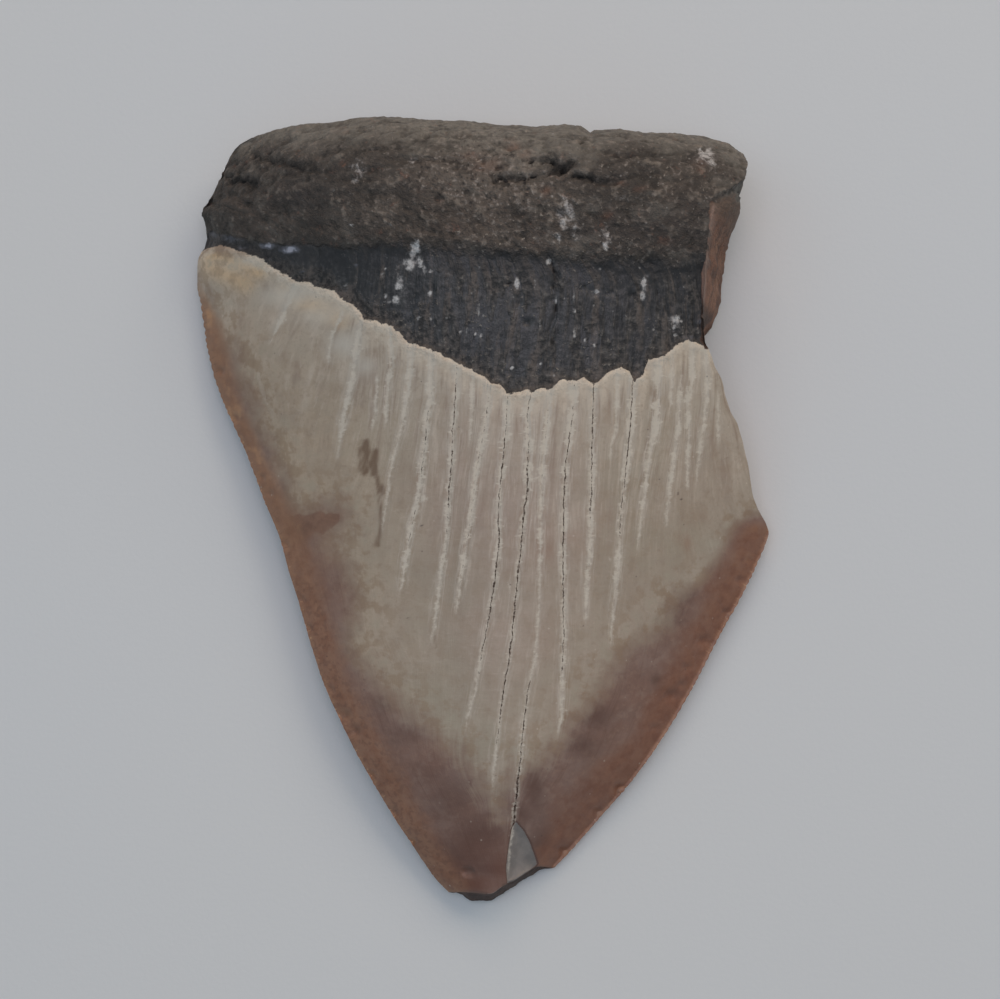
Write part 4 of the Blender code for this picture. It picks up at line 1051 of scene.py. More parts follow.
class Graph:
    """Short names for shader nodes. A number, a colour or a socket can be given for any input."""

    def __init__(self, material):
        material.use_nodes = True
        self.tree = material.node_tree
        self.tree.nodes.clear()

    def new(self, kind, **props):
        node = self.tree.nodes.new(kind)
        for k, v in props.items():
            setattr(node, k, v)
        return node

    def put(self, socket, value):
        if isinstance(value, bpy.types.NodeSocket):
            self.tree.links.new(value, socket)
        elif value is not None:
            socket.default_value = value

    def attr(self, name):
        return self.new("ShaderNodeAttribute", attribute_name=name).outputs["Fac"]

    def math(self, op, a, b=None, c=None, clamp=False):
        n = self.new("ShaderNodeMath", operation=op, use_clamp=clamp)
        for i, value in enumerate((a, b, c)):
            if value is not None:
                self.put(n.inputs[i], value)
        return n.outputs[0]

    def add(self, a, b):
        return self.math("ADD", a, b)

    def sub(self, a, b):
        return self.math("SUBTRACT", a, b)

    def mul(self, a, b, clamp=False):
        return self.math("MULTIPLY", a, b, clamp=clamp)

    def mad(self, a, b, c):
        return self.math("MULTIPLY_ADD", a, b, c)

    def top(self, *values):
        out = values[0]
        for v in values[1:]:
            out = self.math("MAXIMUM", out, v)
        return out

    def step(self, x, a, b, low=0.0, high=1.0):
        """Smooth step from a to b; a may be over b for a falling one."""
        if not isinstance(a, bpy.types.NodeSocket) and not isinstance(b, bpy.types.NodeSocket) and a > b:
            a, b, low, high = b, a, high, low
        n = self.new("ShaderNodeMapRange", interpolation_type="SMOOTHSTEP")
        self.put(n.inputs["Value"], x)
        self.put(n.inputs["From Min"], a)
        self.put(n.inputs["From Max"], b)
        self.put(n.inputs["To Min"], low)
        self.put(n.inputs["To Max"], high)
        return n.outputs["Result"]

    def scale(self, vector, by):
        n = self.new("ShaderNodeVectorMath", operation="MULTIPLY")
        self.put(n.inputs[0], vector)
        n.inputs[1].default_value = by if isinstance(by, tuple) else (by, by, by)
        return n.outputs[0]

    def shift(self, vector, by):
        n = self.new("ShaderNodeVectorMath", operation="ADD")
        self.put(n.inputs[0], vector)
        self.put(n.inputs[1], by)
        return n.outputs[0]

    def join(self, x, y, z=0.0):
        n = self.new("ShaderNodeCombineXYZ")
        for socket, value in zip(n.inputs, (x, y, z)):
            self.put(socket, value)
        return n.outputs[0]

    def noise(self, vector, size, detail=3.0, rough=0.55, distort=0.0, lacunarity=2.0):
        """Fractal noise, 0 to 1, with features about size mm across."""
        n = self.new("ShaderNodeTexNoise", noise_dimensions="3D")
        self.put(n.inputs["Vector"], vector)
        n.inputs["Scale"].default_value = 1.0 / size
        n.inputs["Detail"].default_value = detail
        n.inputs["Roughness"].default_value = rough
        n.inputs["Lacunarity"].default_value = lacunarity
        n.inputs["Distortion"].default_value = distort
        return n.outputs[0]

    def cells(self, vector, size, feature="F1", randomness=1.0):
        n = self.new("ShaderNodeTexVoronoi", voronoi_dimensions="3D", feature=feature)
        self.put(n.inputs["Vector"], vector)
        n.inputs["Scale"].default_value = 1.0 / size
        n.inputs["Randomness"].default_value = randomness
        return n.outputs["Distance"]

    def blend(self, fac, a, b, mode="MIX"):
        n = self.new("ShaderNodeMix", data_type="RGBA", blend_type=mode)
        n.clamp_factor = True
        self.put(n.inputs[0], fac)
        self.put(n.inputs[6], a)
        self.put(n.inputs[7], b)
        return n.outputs[2]

    def lerp(self, fac, a, b):
        n = self.new("ShaderNodeMix", data_type="FLOAT")
        n.clamp_factor = True
        self.put(n.inputs[0], fac)
        self.put(n.inputs[2], a)
        self.put(n.inputs[3], b)
        return n.outputs[0]

    def bump(self, height, distance, strength=1.0, normal=None):
        n = self.new("ShaderNodeBump")
        n.inputs["Strength"].default_value = strength
        n.inputs["Distance"].default_value = distance
        self.put(n.inputs["Height"], height)
        if normal is not None:
            self.put(n.inputs["Normal"], normal)
        return n.outputs[0]


def fossil_material():
    mat = bpy.data.materials.new("fossil_tooth")
    g = Graph(mat)
    mm = g.scale(g.new("ShaderNodeTexCoord").outputs["Object"], 1000.0)
    a = {k: g.attr(k) for k in FIELDS}

    # shared noises (mm)
    n_big = g.noise(mm, 13.0, 3.0)
    n_mid = g.noise(g.shift(mm, (31.0, 7.0, 3.0)), 4.2, 3.0, 0.6)
    n_small = g.noise(g.shift(mm, (5.0, 71.0, 13.0)), 1.3, 3.0, 0.62)
    n_fine = g.noise(g.shift(mm, (11.0, 3.0, 57.0)), 0.42, 3.0, 0.6)
    n_grit = g.noise(g.shift(mm, (2.0, 9.0, 4.0)), 0.2, 2.0, 0.6)
    n_soft = g.noise(g.shift(mm, (8.0, 19.0, 24.0)), 0.62, 1.5, 0.55)
    # coordinates that run with the veins: across in mm, along stretched
    sep = g.new("ShaderNodeSeparateXYZ")
    g.put(sep.inputs[0], mm)
    flow = g.join(g.mul(a["s"], 2.4), sep.outputs[1], g.mul(a["under"], 40.0))
    streak = g.noise(g.scale(flow, (1.0, 0.10, 1.0)), 0.9, 3.0, 0.62)
    streak_fine = g.noise(g.scale(flow, (1.0, 0.09, 1.0)), 0.3, 3.0, 0.65)
    across = g.noise(g.scale(mm, (0.12, 1.0, 1.0)), 0.40, 3.0, 0.7)

    # ---- enamel -----------------------------------------------------------------------------------------------
    pale = g.blend(g.step(n_big, 0.35, 0.65), seen(136, 127, 112), seen(147, 134, 121))
    pale = g.blend(g.mul(a["mauve"], 0.8), pale, seen(139, 121, 111))
    pale = g.blend(a["leftward"], pale, seen(152, 137, 120))
    pale = g.blend(g.step(n_mid, 0.32, 0.72, 0.0, 0.5), pale, seen(133, 120, 107))
    pale = g.blend(g.step(n_small, 0.45, 0.8, 0.0, 0.35), pale, seen(128, 115, 103))
    # brownish and pale bands between the veins, strongest below the rim
    banded = g.step(g.add(a["enamel"], g.mad(n_mid, 8.0, -4.0)), 24.0, 5.0, 0.12, 0.75)
    pale = g.blend(g.step(g.add(a["enamel"], g.mad(n_mid, 7.0, -3.5)), 16.0, 2.0, 0.0, 0.70), pale, seen(158, 147, 134))
    pale = g.blend(g.mul(g.step(streak, 0.50, 0.68), banded), pale, seen(126, 109, 97))
    pale = g.blend(g.mul(g.step(streak, 0.47, 0.31), banded), pale, seen(166, 154, 141))
    near_vein = g.mul(a["white"], g.step(g.math("ABSOLUTE", g.mul(g.sub(a["s"], g.math("ROUND", a["s"])), a["gap"])), 1.5, 0.2))
    pale = g.blend(g.mul(g.step(streak_fine, 0.53, 0.68), g.top(g.mul(banded, 0.5), near_vein)), pale, seen(172, 160, 147))
    pale = g.blend(g.step(across, 0.57, 0.78, 0.0, 0.30), pale, seen(164, 151, 139))
    # cream below the upper rim, in tongues that follow the veins
    tongue = g.add(a["enamel"], g.add(g.mad(streak, 6.0, -3.0), g.mad(n_small, 2.0, -1.0)))
    pale = g.blend(g.step(tongue, 4.0, 0.9, 0.0, 0.80), pale, seen(176, 164, 149))
    pale = g.blend(g.mul(a["cream"], g.step(n_mid, 0.1, 0.8, 0.75, 1.0)), pale, seen(184, 155, 119))
    # the rim's lip is painted pale: its own cream crust, brightened with a painted highlight along the raised step
    crust = g.add(a["enamel"], g.add(g.mad(n_fine, 0.9, -0.45), g.mad(n_small, 1.8, -0.9)))
    pale = g.blend(g.step(crust, 1.5, 0.45, 0.0, 0.75), pale, seen(186, 174, 159))
    pale = g.blend(g.step(n_fine, 0.50, 0.78, 0.0, 0.35), pale, seen(128, 113, 100))
    pale = g.blend(g.step(n_soft, 0.56, 0.76, 0.0, 0.30), pale, seen(124, 108, 95))
    # tan and greenish cloudy patches, more of them towards the brown zone
    clouds = g.noise(g.shift(mm, (3.0, 41.0, 2.0)), 2.0, 3.0, 0.62)
    near_zone = g.step(a["purple"], -6.5, -0.5, 0.25, 1.0)
    pale = g.blend(g.mul(g.mul(near_zone, g.step(clouds, 0.48, 0.61)), 0.65), pale, seen(124, 104, 84))
    pale = g.blend(g.mul(g.mul(near_zone, g.step(clouds, 0.46, 0.34)), 0.45), pale, seen(142, 135, 120))
    pale = g.blend(1.0, pale, (1.045, 1.005, 0.97, 1.0), "MULTIPLY")
    # brown zone towards the cutting edges and the tip
    p = g.add(a["purple"], g.add(g.mad(n_mid, 3.0, -1.5), g.add(g.mad(n_small, 1.8, -0.9), g.mul(g.mad(streak, 4.0, -2.0), g.step(sep.outputs[1], -22.0, -32.0)))))
    zone = g.step(p, -2.3, 1.9)
    patch = g.add(a["patch"], g.add(g.mad(n_small, 0.30, -0.15), g.mad(n_mid, 0.2, -0.1)))
    zone = g.top(zone, g.mul(g.step(patch, 0.22, 0.80), 0.95))
    brown = g.blend(g.step(n_mid, 0.3, 0.7), seen(115, 87, 75), seen(121, 98, 88))
    brown = g.blend(g.step(n_small, 0.35, 0.75, 0.0, 0.55), brown, seen(100, 74, 63))
    brown = g.blend(g.step(n_soft, 0.50, 0.72, 0.0, 0.35), brown, seen(132, 106, 91))
    brown = g.blend(g.step(n_big, 0.5, 0.75, 0.0, 0.4), brown, seen(106, 87, 80))
    brown = g.blend(g.step(streak, 0.52, 0.70, 0.0, 0.35), brown, seen(94, 67, 56))
    brown = g.blend(g.mul(g.step(clouds, 0.48, 0.34), 0.35), brown, seen(134, 112, 100))
    brown = g.blend(g.mul(a["deep"], g.step(n_mid, 0.15, 0.6, 0.6, 1.0)), brown, seen(74, 49, 41))
    brown = g.blend(a["patch"], brown, g.blend(g.step(n_small, 0.3, 0.7), seen(118, 86, 69), seen(104, 75, 60)))
    brown = g.blend(g.mul(a["tipdark"], g.step(n_small, 0.15, 0.6, 0.7, 1.0)), brown, seen(92, 58, 45))
    col = g.blend(zone, pale, brown)
    # a warm fringe where the pale part turns brown
    fringe = g.mul(g.step(p, -2.8, -0.6), g.step(p, 0.9, -0.3))
    col = g.blend(g.mul(fringe, 0.35), col, seen(122, 100, 84))
    # a broad paler band under the left shoulder's rim
    col = g.blend(g.mul(g.mul(a["lift"], g.step(n_mid, 0.15, 0.7, 0.6, 1.0)), 0.90), col, seen(175, 166, 154))
    # stains
    col = g.blend(g.mul(a["warm"], g.step(n_mid, 0.2, 0.7, 0.25, 0.8)), col, seen(128, 98, 80))
    stain_n = g.noise(g.scale(g.shift(mm, (13.0, 3.0, 1.0)), (1.0, 0.20, 1.0)), 0.75, 2.0, 0.5)
    stain_edge = g.mul(a["stain"], g.add(g.step(stain_n, 0.38, 0.58, 0.80, 1.05), g.mad(n_soft, 0.2, -0.1)))
    col = g.blend(g.step(stain_edge, 0.10, 0.85, 0.0, 0.86), col, seen(98, 76, 58))
    # rust along the cutting edges
    r = g.add(a["rust"], g.add(g.mad(n_small, 0.6, -0.3), g.mad(n_mid, 0.6, -0.3)))
    rust_mask = g.mul(g.mul(g.step(r, 1.60, 0.65), a["cutedge"]), g.step(g.add(clouds, g.mad(n_soft, 0.3, -0.15)), 0.60, 0.42, 0.78, 1.0))
    rust_col = g.blend(g.step(n_small, 0.3, 0.7), seen(116, 79, 60), seen(132, 96, 75))
    rust_col = g.blend(g.step(clouds, 0.52, 0.62, 0.0, 0.6), rust_col, seen(134, 96, 72))
    rust_col = g.blend(g.step(n_soft, 0.50, 0.36, 0.0, 0.5), rust_col, seen(96, 67, 54))
    rust_col = g.blend(g.mul(a["redder"], 0.85), rust_col, g.blend(g.step(n_small, 0.3, 0.7), seen(102, 65, 50), seen(116, 78, 60)))
    rust_col = g.blend(a["amber"], rust_col, g.blend(g.step(n_small, 0.3, 0.7), seen(122, 88, 67), seen(136, 100, 76)))
    rust_col = g.blend(g.mul(a["amber"], g.step(n_mid, 0.50, 0.64)), rust_col, seen(158, 118, 86))
    rust_col = g.blend(g.mul(g.step(a["edge"], 0.7, 0.1, 0.0, 0.6), g.step(n_small, 0.35, 0.65, 0.2, 1.0)), rust_col, seen(142, 104, 79))
    col = g.blend(g.mul(rust_mask, 0.92), col, rust_col)
    # each serration: a painted highlight, a pale glint on its crest, and painted shade, a dark notch between, drawn a
    # little way in from the edge
    lean = g.add(g.mul(a["arc"], 1.0 / PITCH), g.mul(g.noise(mm, 1.1, 2.0), 0.6))
    turn = g.math("FRACT", lean)
    wave = g.math("ABSOLUTE", g.mad(turn, 2.0, -1.0))
    chance = g.noise(g.join(g.math("FLOOR", lean), 0.5, a["under"]), 1.37, 0.0)
    reach = g.step(chance, 0.35, 0.70, 0.25, 1.3)
    serr = g.mul(g.step(a["edge"], reach, g.mul(reach, 0.3)), a["cutedge"])
    notch_shade = g.mul(g.mul(serr, g.step(wave, 0.80, 0.96)), g.mul(g.step(n_fine, 0.36, 0.55), g.step(chance, 0.38, 0.60)))
    crest_highlight = g.mul(g.mul(serr, g.step(wave, 0.24, 0.04)), g.mul(g.step(n_grit, 0.46, 0.62), g.step(chance, 0.62, 0.42)))
    col = g.blend(g.mul(notch_shade, 0.32), col, seen(62, 42, 34))
    col = g.blend(g.mul(crest_highlight, 0.72), col, seen(196, 156, 120))
    # white veins: ragged, swelling and pinching, with small spurs
    off = g.mul(g.sub(a["s"], g.math("ROUND", a["s"])), a["gap"])
    wob = g.add(g.mad(g.noise(g.shift(mm, (50.0, 2.0, 8.0)), 1.0, 3.0, 0.6), 0.5, -0.25),
                g.mad(g.noise(g.shift(mm, (5.0, 22.0, 8.0)), 0.34, 3.0, 0.7), 0.34, -0.17))
    side = g.sub(off, wob)
    d_w = g.math("ABSOLUTE", side)
    swell_n = g.noise(g.scale(flow, (0.35, 0.55, 1.0)), 1.0, 3.0, 0.65)
    spur_n = g.noise(g.scale(mm, (0.45, 1.5, 1.0)), 0.55, 2.0, 0.6)
    vein_w = g.mul(g.top(a["white"], g.mul(a["black"], 0.6)), g.step(a["enamel"], 11.0, 2.5, 1.0, 1.35))
    on_vein = g.step(vein_w, 0.03, 0.22)
    width = g.mul(vein_w, g.add(g.step(swell_n, 0.34, 0.66, 0.02, 0.46), g.step(spur_n, 0.54, 0.74, 0.0, 0.40)))
    width = g.add(width, g.add(g.mad(n_fine, 0.60, -0.31), g.mad(n_grit, 0.12, -0.06)))
    white = g.mul(g.step(g.sub(width, d_w), -0.26, 0.26), on_vein)
    halo = g.mul(g.step(g.math("ABSOLUTE", off), 1.3, 0.0, 0.0, 0.85), g.mul(vein_w, g.step(g.add(streak_fine, g.mad(n_small, 0.3, -0.15)), 0.38, 0.60)))
    glint_n = g.noise(g.scale(g.shift(mm, (1.0, 33.0, 6.0)), (1.0, 0.55, 1.0)), 0.55, 3.0, 0.75)
    glint = g.step(g.mul(a["glints"], g.mad(glint_n, 1.9, 0.0)), 0.42, 0.82)
    white = g.mul(g.top(white, g.mul(glint, 0.85)), g.step(n_fine, 0.24, 0.56, 0.66, 0.94))
    col = g.blend(g.mul(halo, g.sub(1.0, g.mul(zone, 0.6))), col, seen(162, 151, 139))
    col = g.blend(g.mul(g.mul(white, 0.97), g.sub(1.0, g.mul(zone, 0.25))), col, seen(178, 167, 153))
    # black hair cracks along them, broken into dashes
    thin = g.sub(off, g.mad(g.noise(g.shift(mm, (50.0, 2.0, 8.0)), 1.0, 3.0, 0.6), 0.5, -0.25))
    thin = g.add(thin, g.mad(n_grit, 0.16, -0.08))
    dash = g.noise(g.scale(flow, (0.25, 1.0, 1.0)), 0.55, 3.0, 0.75)
    dash_long = g.noise(g.scale(flow, (0.25, 0.22, 1.0)), 1.0, 2.0, 0.6)
    gate = g.add(g.mul(a["black"], 0.42), g.add(g.mul(dash, 0.75), g.mul(dash_long, 0.35)))
    hair = g.mul(g.math("POWER", a["black"], 1.4), g.step(dash_long, 0.3, 0.75, 0.045, 0.150))
    black = g.mul(g.step(g.math("ABSOLUTE", thin), g.add(hair, 0.045), g.mul(hair, 0.3)),
                  g.mul(g.mul(g.step(gate, 0.67, 0.82), g.step(dash, 0.40, 0.54, 0.40, 1.0)), g.step(a["black"], 0.05, 0.2)))
    col = g.blend(g.mul(black, g.step(n_fine, 0.25, 0.5, 0.6, 1.0)), col, seen(46, 27, 19))
    # dark specks, both the ones that were read and a scatter of tiny ones
    dust = g.mul(g.step(g.cells(g.shift(mm, (7.0, 7.0, 7.0)), 1.9), 0.075, 0.03), g.step(n_mid, 0.48, 0.6))
    col = g.blend(g.mul(g.top(g.step(a["specks"], 0.35, 0.8), g.mul(dust, 0.7)), 0.75), col, seen(66, 54, 50))
    light_dust = g.mul(g.step(g.cells(g.shift(mm, (17.0, 2.0, 9.0)), 1.7), 0.09, 0.04), g.step(n_big, 0.45, 0.6))
    col = g.blend(g.mul(light_dust, 0.35), col, seen(182, 170, 156))
    # the spall beside the tip shows grey inner enamel, with a cream line down its left side
    spall_in = g.step(g.add(a["spall"], g.mad(n_fine, 0.3, -0.15)), 0.35, 0.65)
    spall_col = g.blend(g.step(n_small, 0.3, 0.7), seen(104, 97, 93), seen(117, 109, 104))
    spall_col = g.blend(g.step(n_mid, 0.5, 0.7, 0.0, 0.5), spall_col, seen(108, 99, 95))
    col = g.blend(g.mul(g.step(a["spall"], 0.02, 0.25), g.step(a["spall"], 0.6, 0.35)), col, seen(84, 60, 52))
    col = g.blend(spall_in, col, g.blend(white, spall_col, seen(170, 160, 148)))
    enamel_col = col
    enamel_rough = g.add(g.step(n_small, 0.2, 0.8, 0.34, 0.50), g.mul(white, 0.2))
    enamel_rough = g.add(enamel_rough, g.add(g.mul(g.step(a["enamel"], 3.0, 0.0), 0.14), g.mul(black, 0.4)))

    # ---- bourlette --------------------------------------------------------------------------------------------
    b_streak = g.noise(g.scale(flow, (1.0, 0.14, 1.0)), 0.85, 3.0, 0.68)
    b_fine = g.noise(g.scale(flow, (1.0, 0.22, 1.0)), 0.26, 3.0, 0.7)
    block = g.noise(g.scale(g.shift(flow, (40.0, 9.0, 0.0)), (1.0, 0.22, 1.0)), 1.7, 3.0, 0.6)
    hgt = a["height"]
    margin = g.step(g.add(a["enamel"], g.add(g.mad(n_mid, 3.6, -1.8), g.mad(n_small, 1.5, -0.75))), -3.2, -0.6)
    slick = g.mul(g.step(g.add(block, g.add(g.mad(n_small, 0.3, -0.15), g.mad(a["leftward"], 0.16, 0.0))), 0.42, 0.54), g.step(margin, 0.95, 0.35))
    gritty = g.add(n_soft, g.add(g.mad(n_fine, 0.8, -0.4), g.mul(hgt, 0.05)))
    bour = g.blend(g.step(gritty, 0.32, 0.62), seen(34, 31, 30), seen(63, 58, 55))
    bour = g.blend(g.mul(g.step(gritty, 0.60, 0.84, 0.0, 0.80), g.mad(a["leftward"], -0.5, 1.0)), bour, seen(98, 92, 87))
    brown_band = g.noise(g.scale(g.shift(flow, (17.0, 4.0, 0.0)), (1.0, 0.16, 1.0)), 1.5, 3.0, 0.6)
    brownish = g.mul(g.step(brown_band, 0.50, 0.60), g.step(n_soft, 0.30, 0.54, 0.3, 1.0))
    bour = g.blend(g.mul(brownish, 0.65), bour, seen(86, 76, 70))
    slick_col = g.blend(g.step(b_streak, 0.35, 0.65), seen(38, 36, 37), seen(55, 52, 52))
    slick_col = g.blend(g.step(n_mid, 0.5, 0.7, 0.0, 0.5), slick_col, seen(70, 68, 72))
    slick_col = g.blend(g.step(n_soft, 0.52, 0.72, 0.0, 0.4), slick_col, seen(78, 74, 74))
    bour = g.blend(g.mul(slick, g.mad(brownish, -0.5, 0.88)), bour, slick_col)
    bour = g.blend(g.step(b_fine, 0.58, 0.74, 0.0, 0.70), bour, seen(31, 28, 28))
    bour = g.blend(g.mul(g.step(hgt, -0.5, -1.4), 0.6), bour, seen(27, 24, 24))
    bour = g.blend(g.step(g.add(a["root"], g.mad(n_small, 2.0, -1.0)), -3.2, -0.9, 0.0, 0.60), bour, seen(38, 35, 36))
    chips = g.mul(g.step(n_fine, 0.60, 0.70), g.step(g.add(n_mid, g.mad(a["margin"], 0.3, 0.0)), 0.46, 0.64))
    bour = g.blend(g.mul(chips, g.mad(a["leftward"], -0.40, 0.5)), bour, seen(132, 124, 117))
    # painted highlights: the window's reflections on the glossy bourlette, given as pale bluish colour
    highlight_mask = g.mul(a["painted_highlight"], g.mad(n_soft, 1.2, 0.4))
    bour = g.blend(g.mul(g.step(highlight_mask, 0.25, 0.70), 0.85), bour, seen(88, 87, 93))
    bour = g.blend(g.step(highlight_mask, 0.66, 0.95, 0.0, 0.85), bour, seen(150, 148, 156))
    bour_rough = g.lerp(slick, g.step(n_small, 0.25, 0.75, 0.46, 0.70), g.step(n_small, 0.25, 0.75, 0.28, 0.42))

    # ---- root -------------------------------------------------------------------------------------------------
    rt = g.blend(g.step(n_mid, 0.32, 0.68), seen(55, 48, 43), seen(71, 63, 57))
    rt = g.blend(g.step(n_big, 0.52, 0.68, 0.0, 0.4), rt, seen(76, 63, 55))
    rt = g.blend(g.mul(a["tan"], g.step(n_small, 0.2, 0.7, 0.35, 0.85)), rt, seen(94, 84, 76))
    # painted shade from the dark field, on the root's low parts and the walls under its right end
    rt = g.blend(g.mul(a["dark"], 0.75), rt, seen(47, 41, 39))
    # the root's top rim is painted paler: partly its worn surface, partly painted light from above falling on it
    worn_lit_rim = g.step(g.add(a["high"], g.mad(n_mid, 1.2, -0.6)), 1.25, 0.45)
    worn_lit_rim_col = g.blend(g.step(n_small, 0.3, 0.7), seen(91, 85, 78), seen(112, 106, 98))
    rt = g.blend(g.mul(worn_lit_rim, 0.80), rt, worn_lit_rim_col)
    # crests are paler, hollows dark
    tone = g.add(hgt, g.add(g.mad(n_small, 1.8, -0.9), g.mad(n_soft, 2.2, -1.1)))
    keep = g.mad(a["dark"], -0.35, 1.0)
    rt = g.blend(g.mul(g.step(tone, 0.30, 1.5, 0.0, 0.60), keep), rt, seen(116, 105, 95))
    rt = g.blend(g.mul(g.step(tone, -0.30, -1.4, 0.0, 0.75), g.mad(worn_lit_rim, -0.55, 1.0)), rt, seen(38, 33, 29))
    crumb = g.add(g.mul(n_soft, 0.55), g.mul(n_fine, 0.45))
    crumbly = g.mul(g.step(g.add(a["tan"], g.mad(n_mid, 1.2, -0.6)), -0.2, 0.6, 0.45, 1.0), g.mad(a["leftward"], -0.65, 1.0))
    rt = g.blend(g.mul(g.step(crumb, 0.52, 0.68), g.mul(g.mul(crumbly, keep), 0.82)), rt, seen(126, 116, 109))
    rt = g.blend(g.mul(g.step(crumb, 0.48, 0.34), g.mul(crumbly, 0.85)), rt, seen(34, 28, 26))
    reddish = g.mul(g.step(g.noise(g.shift(mm, (90.0, 4.0, 2.0)), 1.8, 3.0, 0.6), 0.60, 0.72), g.step(n_fine, 0.4, 0.6))
    rt = g.blend(g.mul(reddish, 0.45), rt, seen(104, 74, 62))
    salt = g.mul(g.step(n_fine, 0.62, 0.72), g.step(n_mid, 0.40, 0.6, 0.25, 1.0))
    rt = g.blend(g.mul(g.mul(salt, keep), g.mad(a["leftward"], -0.40, 0.62)), rt, seen(142, 132, 122))
    patchy = g.noise(g.scale(g.shift(mm, (8.0, 2.0, 64.0)), (0.6, 1.0, 1.0)), 2.3, 3.0, 0.55)
    rt = g.blend(g.mul(g.step(patchy, 0.55, 0.68), 0.35), rt, seen(100, 93, 86))
    rt = g.blend(g.mul(g.step(patchy, 0.45, 0.32), 0.45), rt, seen(44, 38, 34))
    rt = g.blend(g.mul(a["rustspot"], 0.7), rt, seen(118, 80, 62))
    root_rough = g.step(n_fine, 0.3, 0.7, 0.60, 0.86)

    # ---- put the zones together -------------------------------------------------------------------------------
    blur = g.mad(a["leftward"], -0.72, 1.0)
    root_edge = g.add(a["root"], g.mul(g.add(g.mad(n_mid, 3.4, -1.7), g.mad(n_small, 2.6, -1.3)), blur))
    root_mask = g.step(g.math("DIVIDE", root_edge, blur), -0.8, 0.9)
    col = g.blend(root_mask, bour, rt)
    rough = g.lerp(root_mask, bour_rough, root_rough)
    # short cracks lie across the bourlette and a few run down it
    lie = g.math("ABSOLUTE", g.mad(g.noise(g.scale(g.shift(mm, (2.0, 71.0, 5.0)), (0.35, 1.0, 1.0)), 1.5, 3.0, 0.65), 1.0, -0.5))
    stand = g.math("ABSOLUTE", g.mad(g.noise(g.scale(g.shift(flow, (7.0, 1.0, 0.0)), (1.0, 0.10, 1.0)), 1.2, 3.0, 0.65), 1.0, -0.5))
    split = g.top(g.mul(g.step(lie, 0.030, 0.004), g.step(n_mid, 0.54, 0.66)), g.mul(g.step(stand, 0.030, 0.004), g.step(n_mid, 0.44, 0.32)))
    split = g.mul(split, g.sub(1.0, root_mask))
    col = g.blend(g.mul(split, 0.75), col, seen(24, 21, 21))
    # loose pale crumbs
    crumb_dots = g.mul(g.step(g.cells(g.shift(mm, (3.0, 19.0, 6.0)), 1.05), 0.20, 0.08), g.step(g.noise(g.shift(mm, (60.0, 2.0, 3.0)), 0.9, 2.0), 0.56, 0.66))
    col = g.blend(g.mul(crumb_dots, g.mad(a["leftward"], -0.35, 0.60)), col, seen(138, 132, 128))
    # chalky scars on the root and the bourlette
    scar_n = g.noise(g.scale(g.shift(mm, (12.0, 3.0, 1.0)), (1.5, 0.8, 1.0)), 0.5, 3.0, 0.75)
    powder = g.add(g.mul(n_fine, 1.1), g.mul(scar_n, 0.9))
    scar = g.step(g.mul(a["scars"], powder), 0.30, 0.86)
    scar = g.mul(scar, g.step(n_fine, 0.30, 0.60, 0.35, 1.0))
    col = g.blend(g.mul(scar, 0.95), col, seen(176, 171, 168))
    speck_n = g.add(g.mul(n_fine, 0.6), g.mul(n_soft, 0.4))
    dusting = g.mul(g.step(g.mul(a["dusting"], g.mad(speck_n, 2.0, 0.0)), 0.34, 1.05), g.step(speck_n, 0.44, 0.62, 0.15, 1.0))
    col = g.blend(g.mul(dusting, 0.85), col, seen(150, 143, 140))
    rough = g.lerp(scar, rough, 0.8)
    # pits and furrows painted near black
    col = g.blend(g.step(g.add(a["pit"], g.mad(n_fine, 0.2, -0.1)), 0.10, 0.55, 0.0, 0.85), col, seen(28, 24, 22))
    enamel_edge = g.add(a["enamel"], g.add(g.mad(n_fine, 0.34, -0.17), g.mad(n_grit, 0.2, -0.1)))
    enamel_mask = g.step(enamel_edge, -0.06, 0.08)
    col = g.blend(enamel_mask, col, enamel_col)
    rough = g.lerp(enamel_mask, rough, enamel_rough)
    # a darker line along the foot of the enamel's rim
    gutter = g.mul(g.step(enamel_edge, -0.4, -0.05), g.step(enamel_edge, 0.08, -0.02))
    col = g.blend(g.mul(gutter, 0.4), col, seen(40, 36, 35))

    # ---- broken faces -----------------------------------------------------------------------------------------
    fr = g.blend(g.step(n_small, 0.3, 0.7), seen(92, 62, 48), seen(119, 81, 61))
    fr = g.blend(g.step(n_mid, 0.42, 0.66, 0.0, 0.8), fr, seen(128, 92, 71))
    f_streak = g.noise(g.scale(g.shift(mm, (31.0, 7.0, 4.0)), (1.0, 0.30, 0.7)), 1.5, 3.0, 0.6)
    fr = g.blend(g.step(f_streak, 0.46, 0.62, 0.0, 0.70), fr, seen(74, 52, 43))
    fr = g.blend(g.step(n_soft, 0.48, 0.68, 0.0, 0.30), fr, seen(64, 46, 39))
    fr = g.blend(g.step(n_fine, 0.54, 0.74, 0.0, 0.35), fr, seen(132, 104, 86))
    fr = g.blend(g.mul(a["facetop"], 0.8), fr, seen(84, 72, 63))
    fr = g.blend(g.mul(a["faceline"], 0.75), fr, seen(132, 110, 100))
    fr = g.blend(g.mul(a["facelow"], 0.8), fr, seen(48, 38, 33))
    fresh_edge = g.add(a["freshroot"], g.mul(g.mad(n_small, 0.8, -0.4), g.step(a["freshroot"], 0.0, 0.15)))
    col = g.blend(g.step(fresh_edge, 0.1, 0.6), col, fr)
    fs = g.blend(g.step(n_small, 0.3, 0.7), seen(92, 74, 62), seen(122, 100, 84))
    col = g.blend(g.step(a["freshside"], 0.1, 0.5), col, fs)
    # the broken tip's face is painted very dark: its own dark break, deepened with painted shade where it faces down
    # and away from the light
    ft = g.blend(g.step(n_small, 0.3, 0.7), seen(46, 34, 31), seen(72, 55, 48))
    col = g.blend(g.step(a["freshtip"], 0.1, 0.5), col, ft)
    broken = g.top(a["freshroot"], a["freshside"], a["freshtip"])
    rough = g.lerp(g.step(broken, 0.1, 0.5), rough, 0.72)

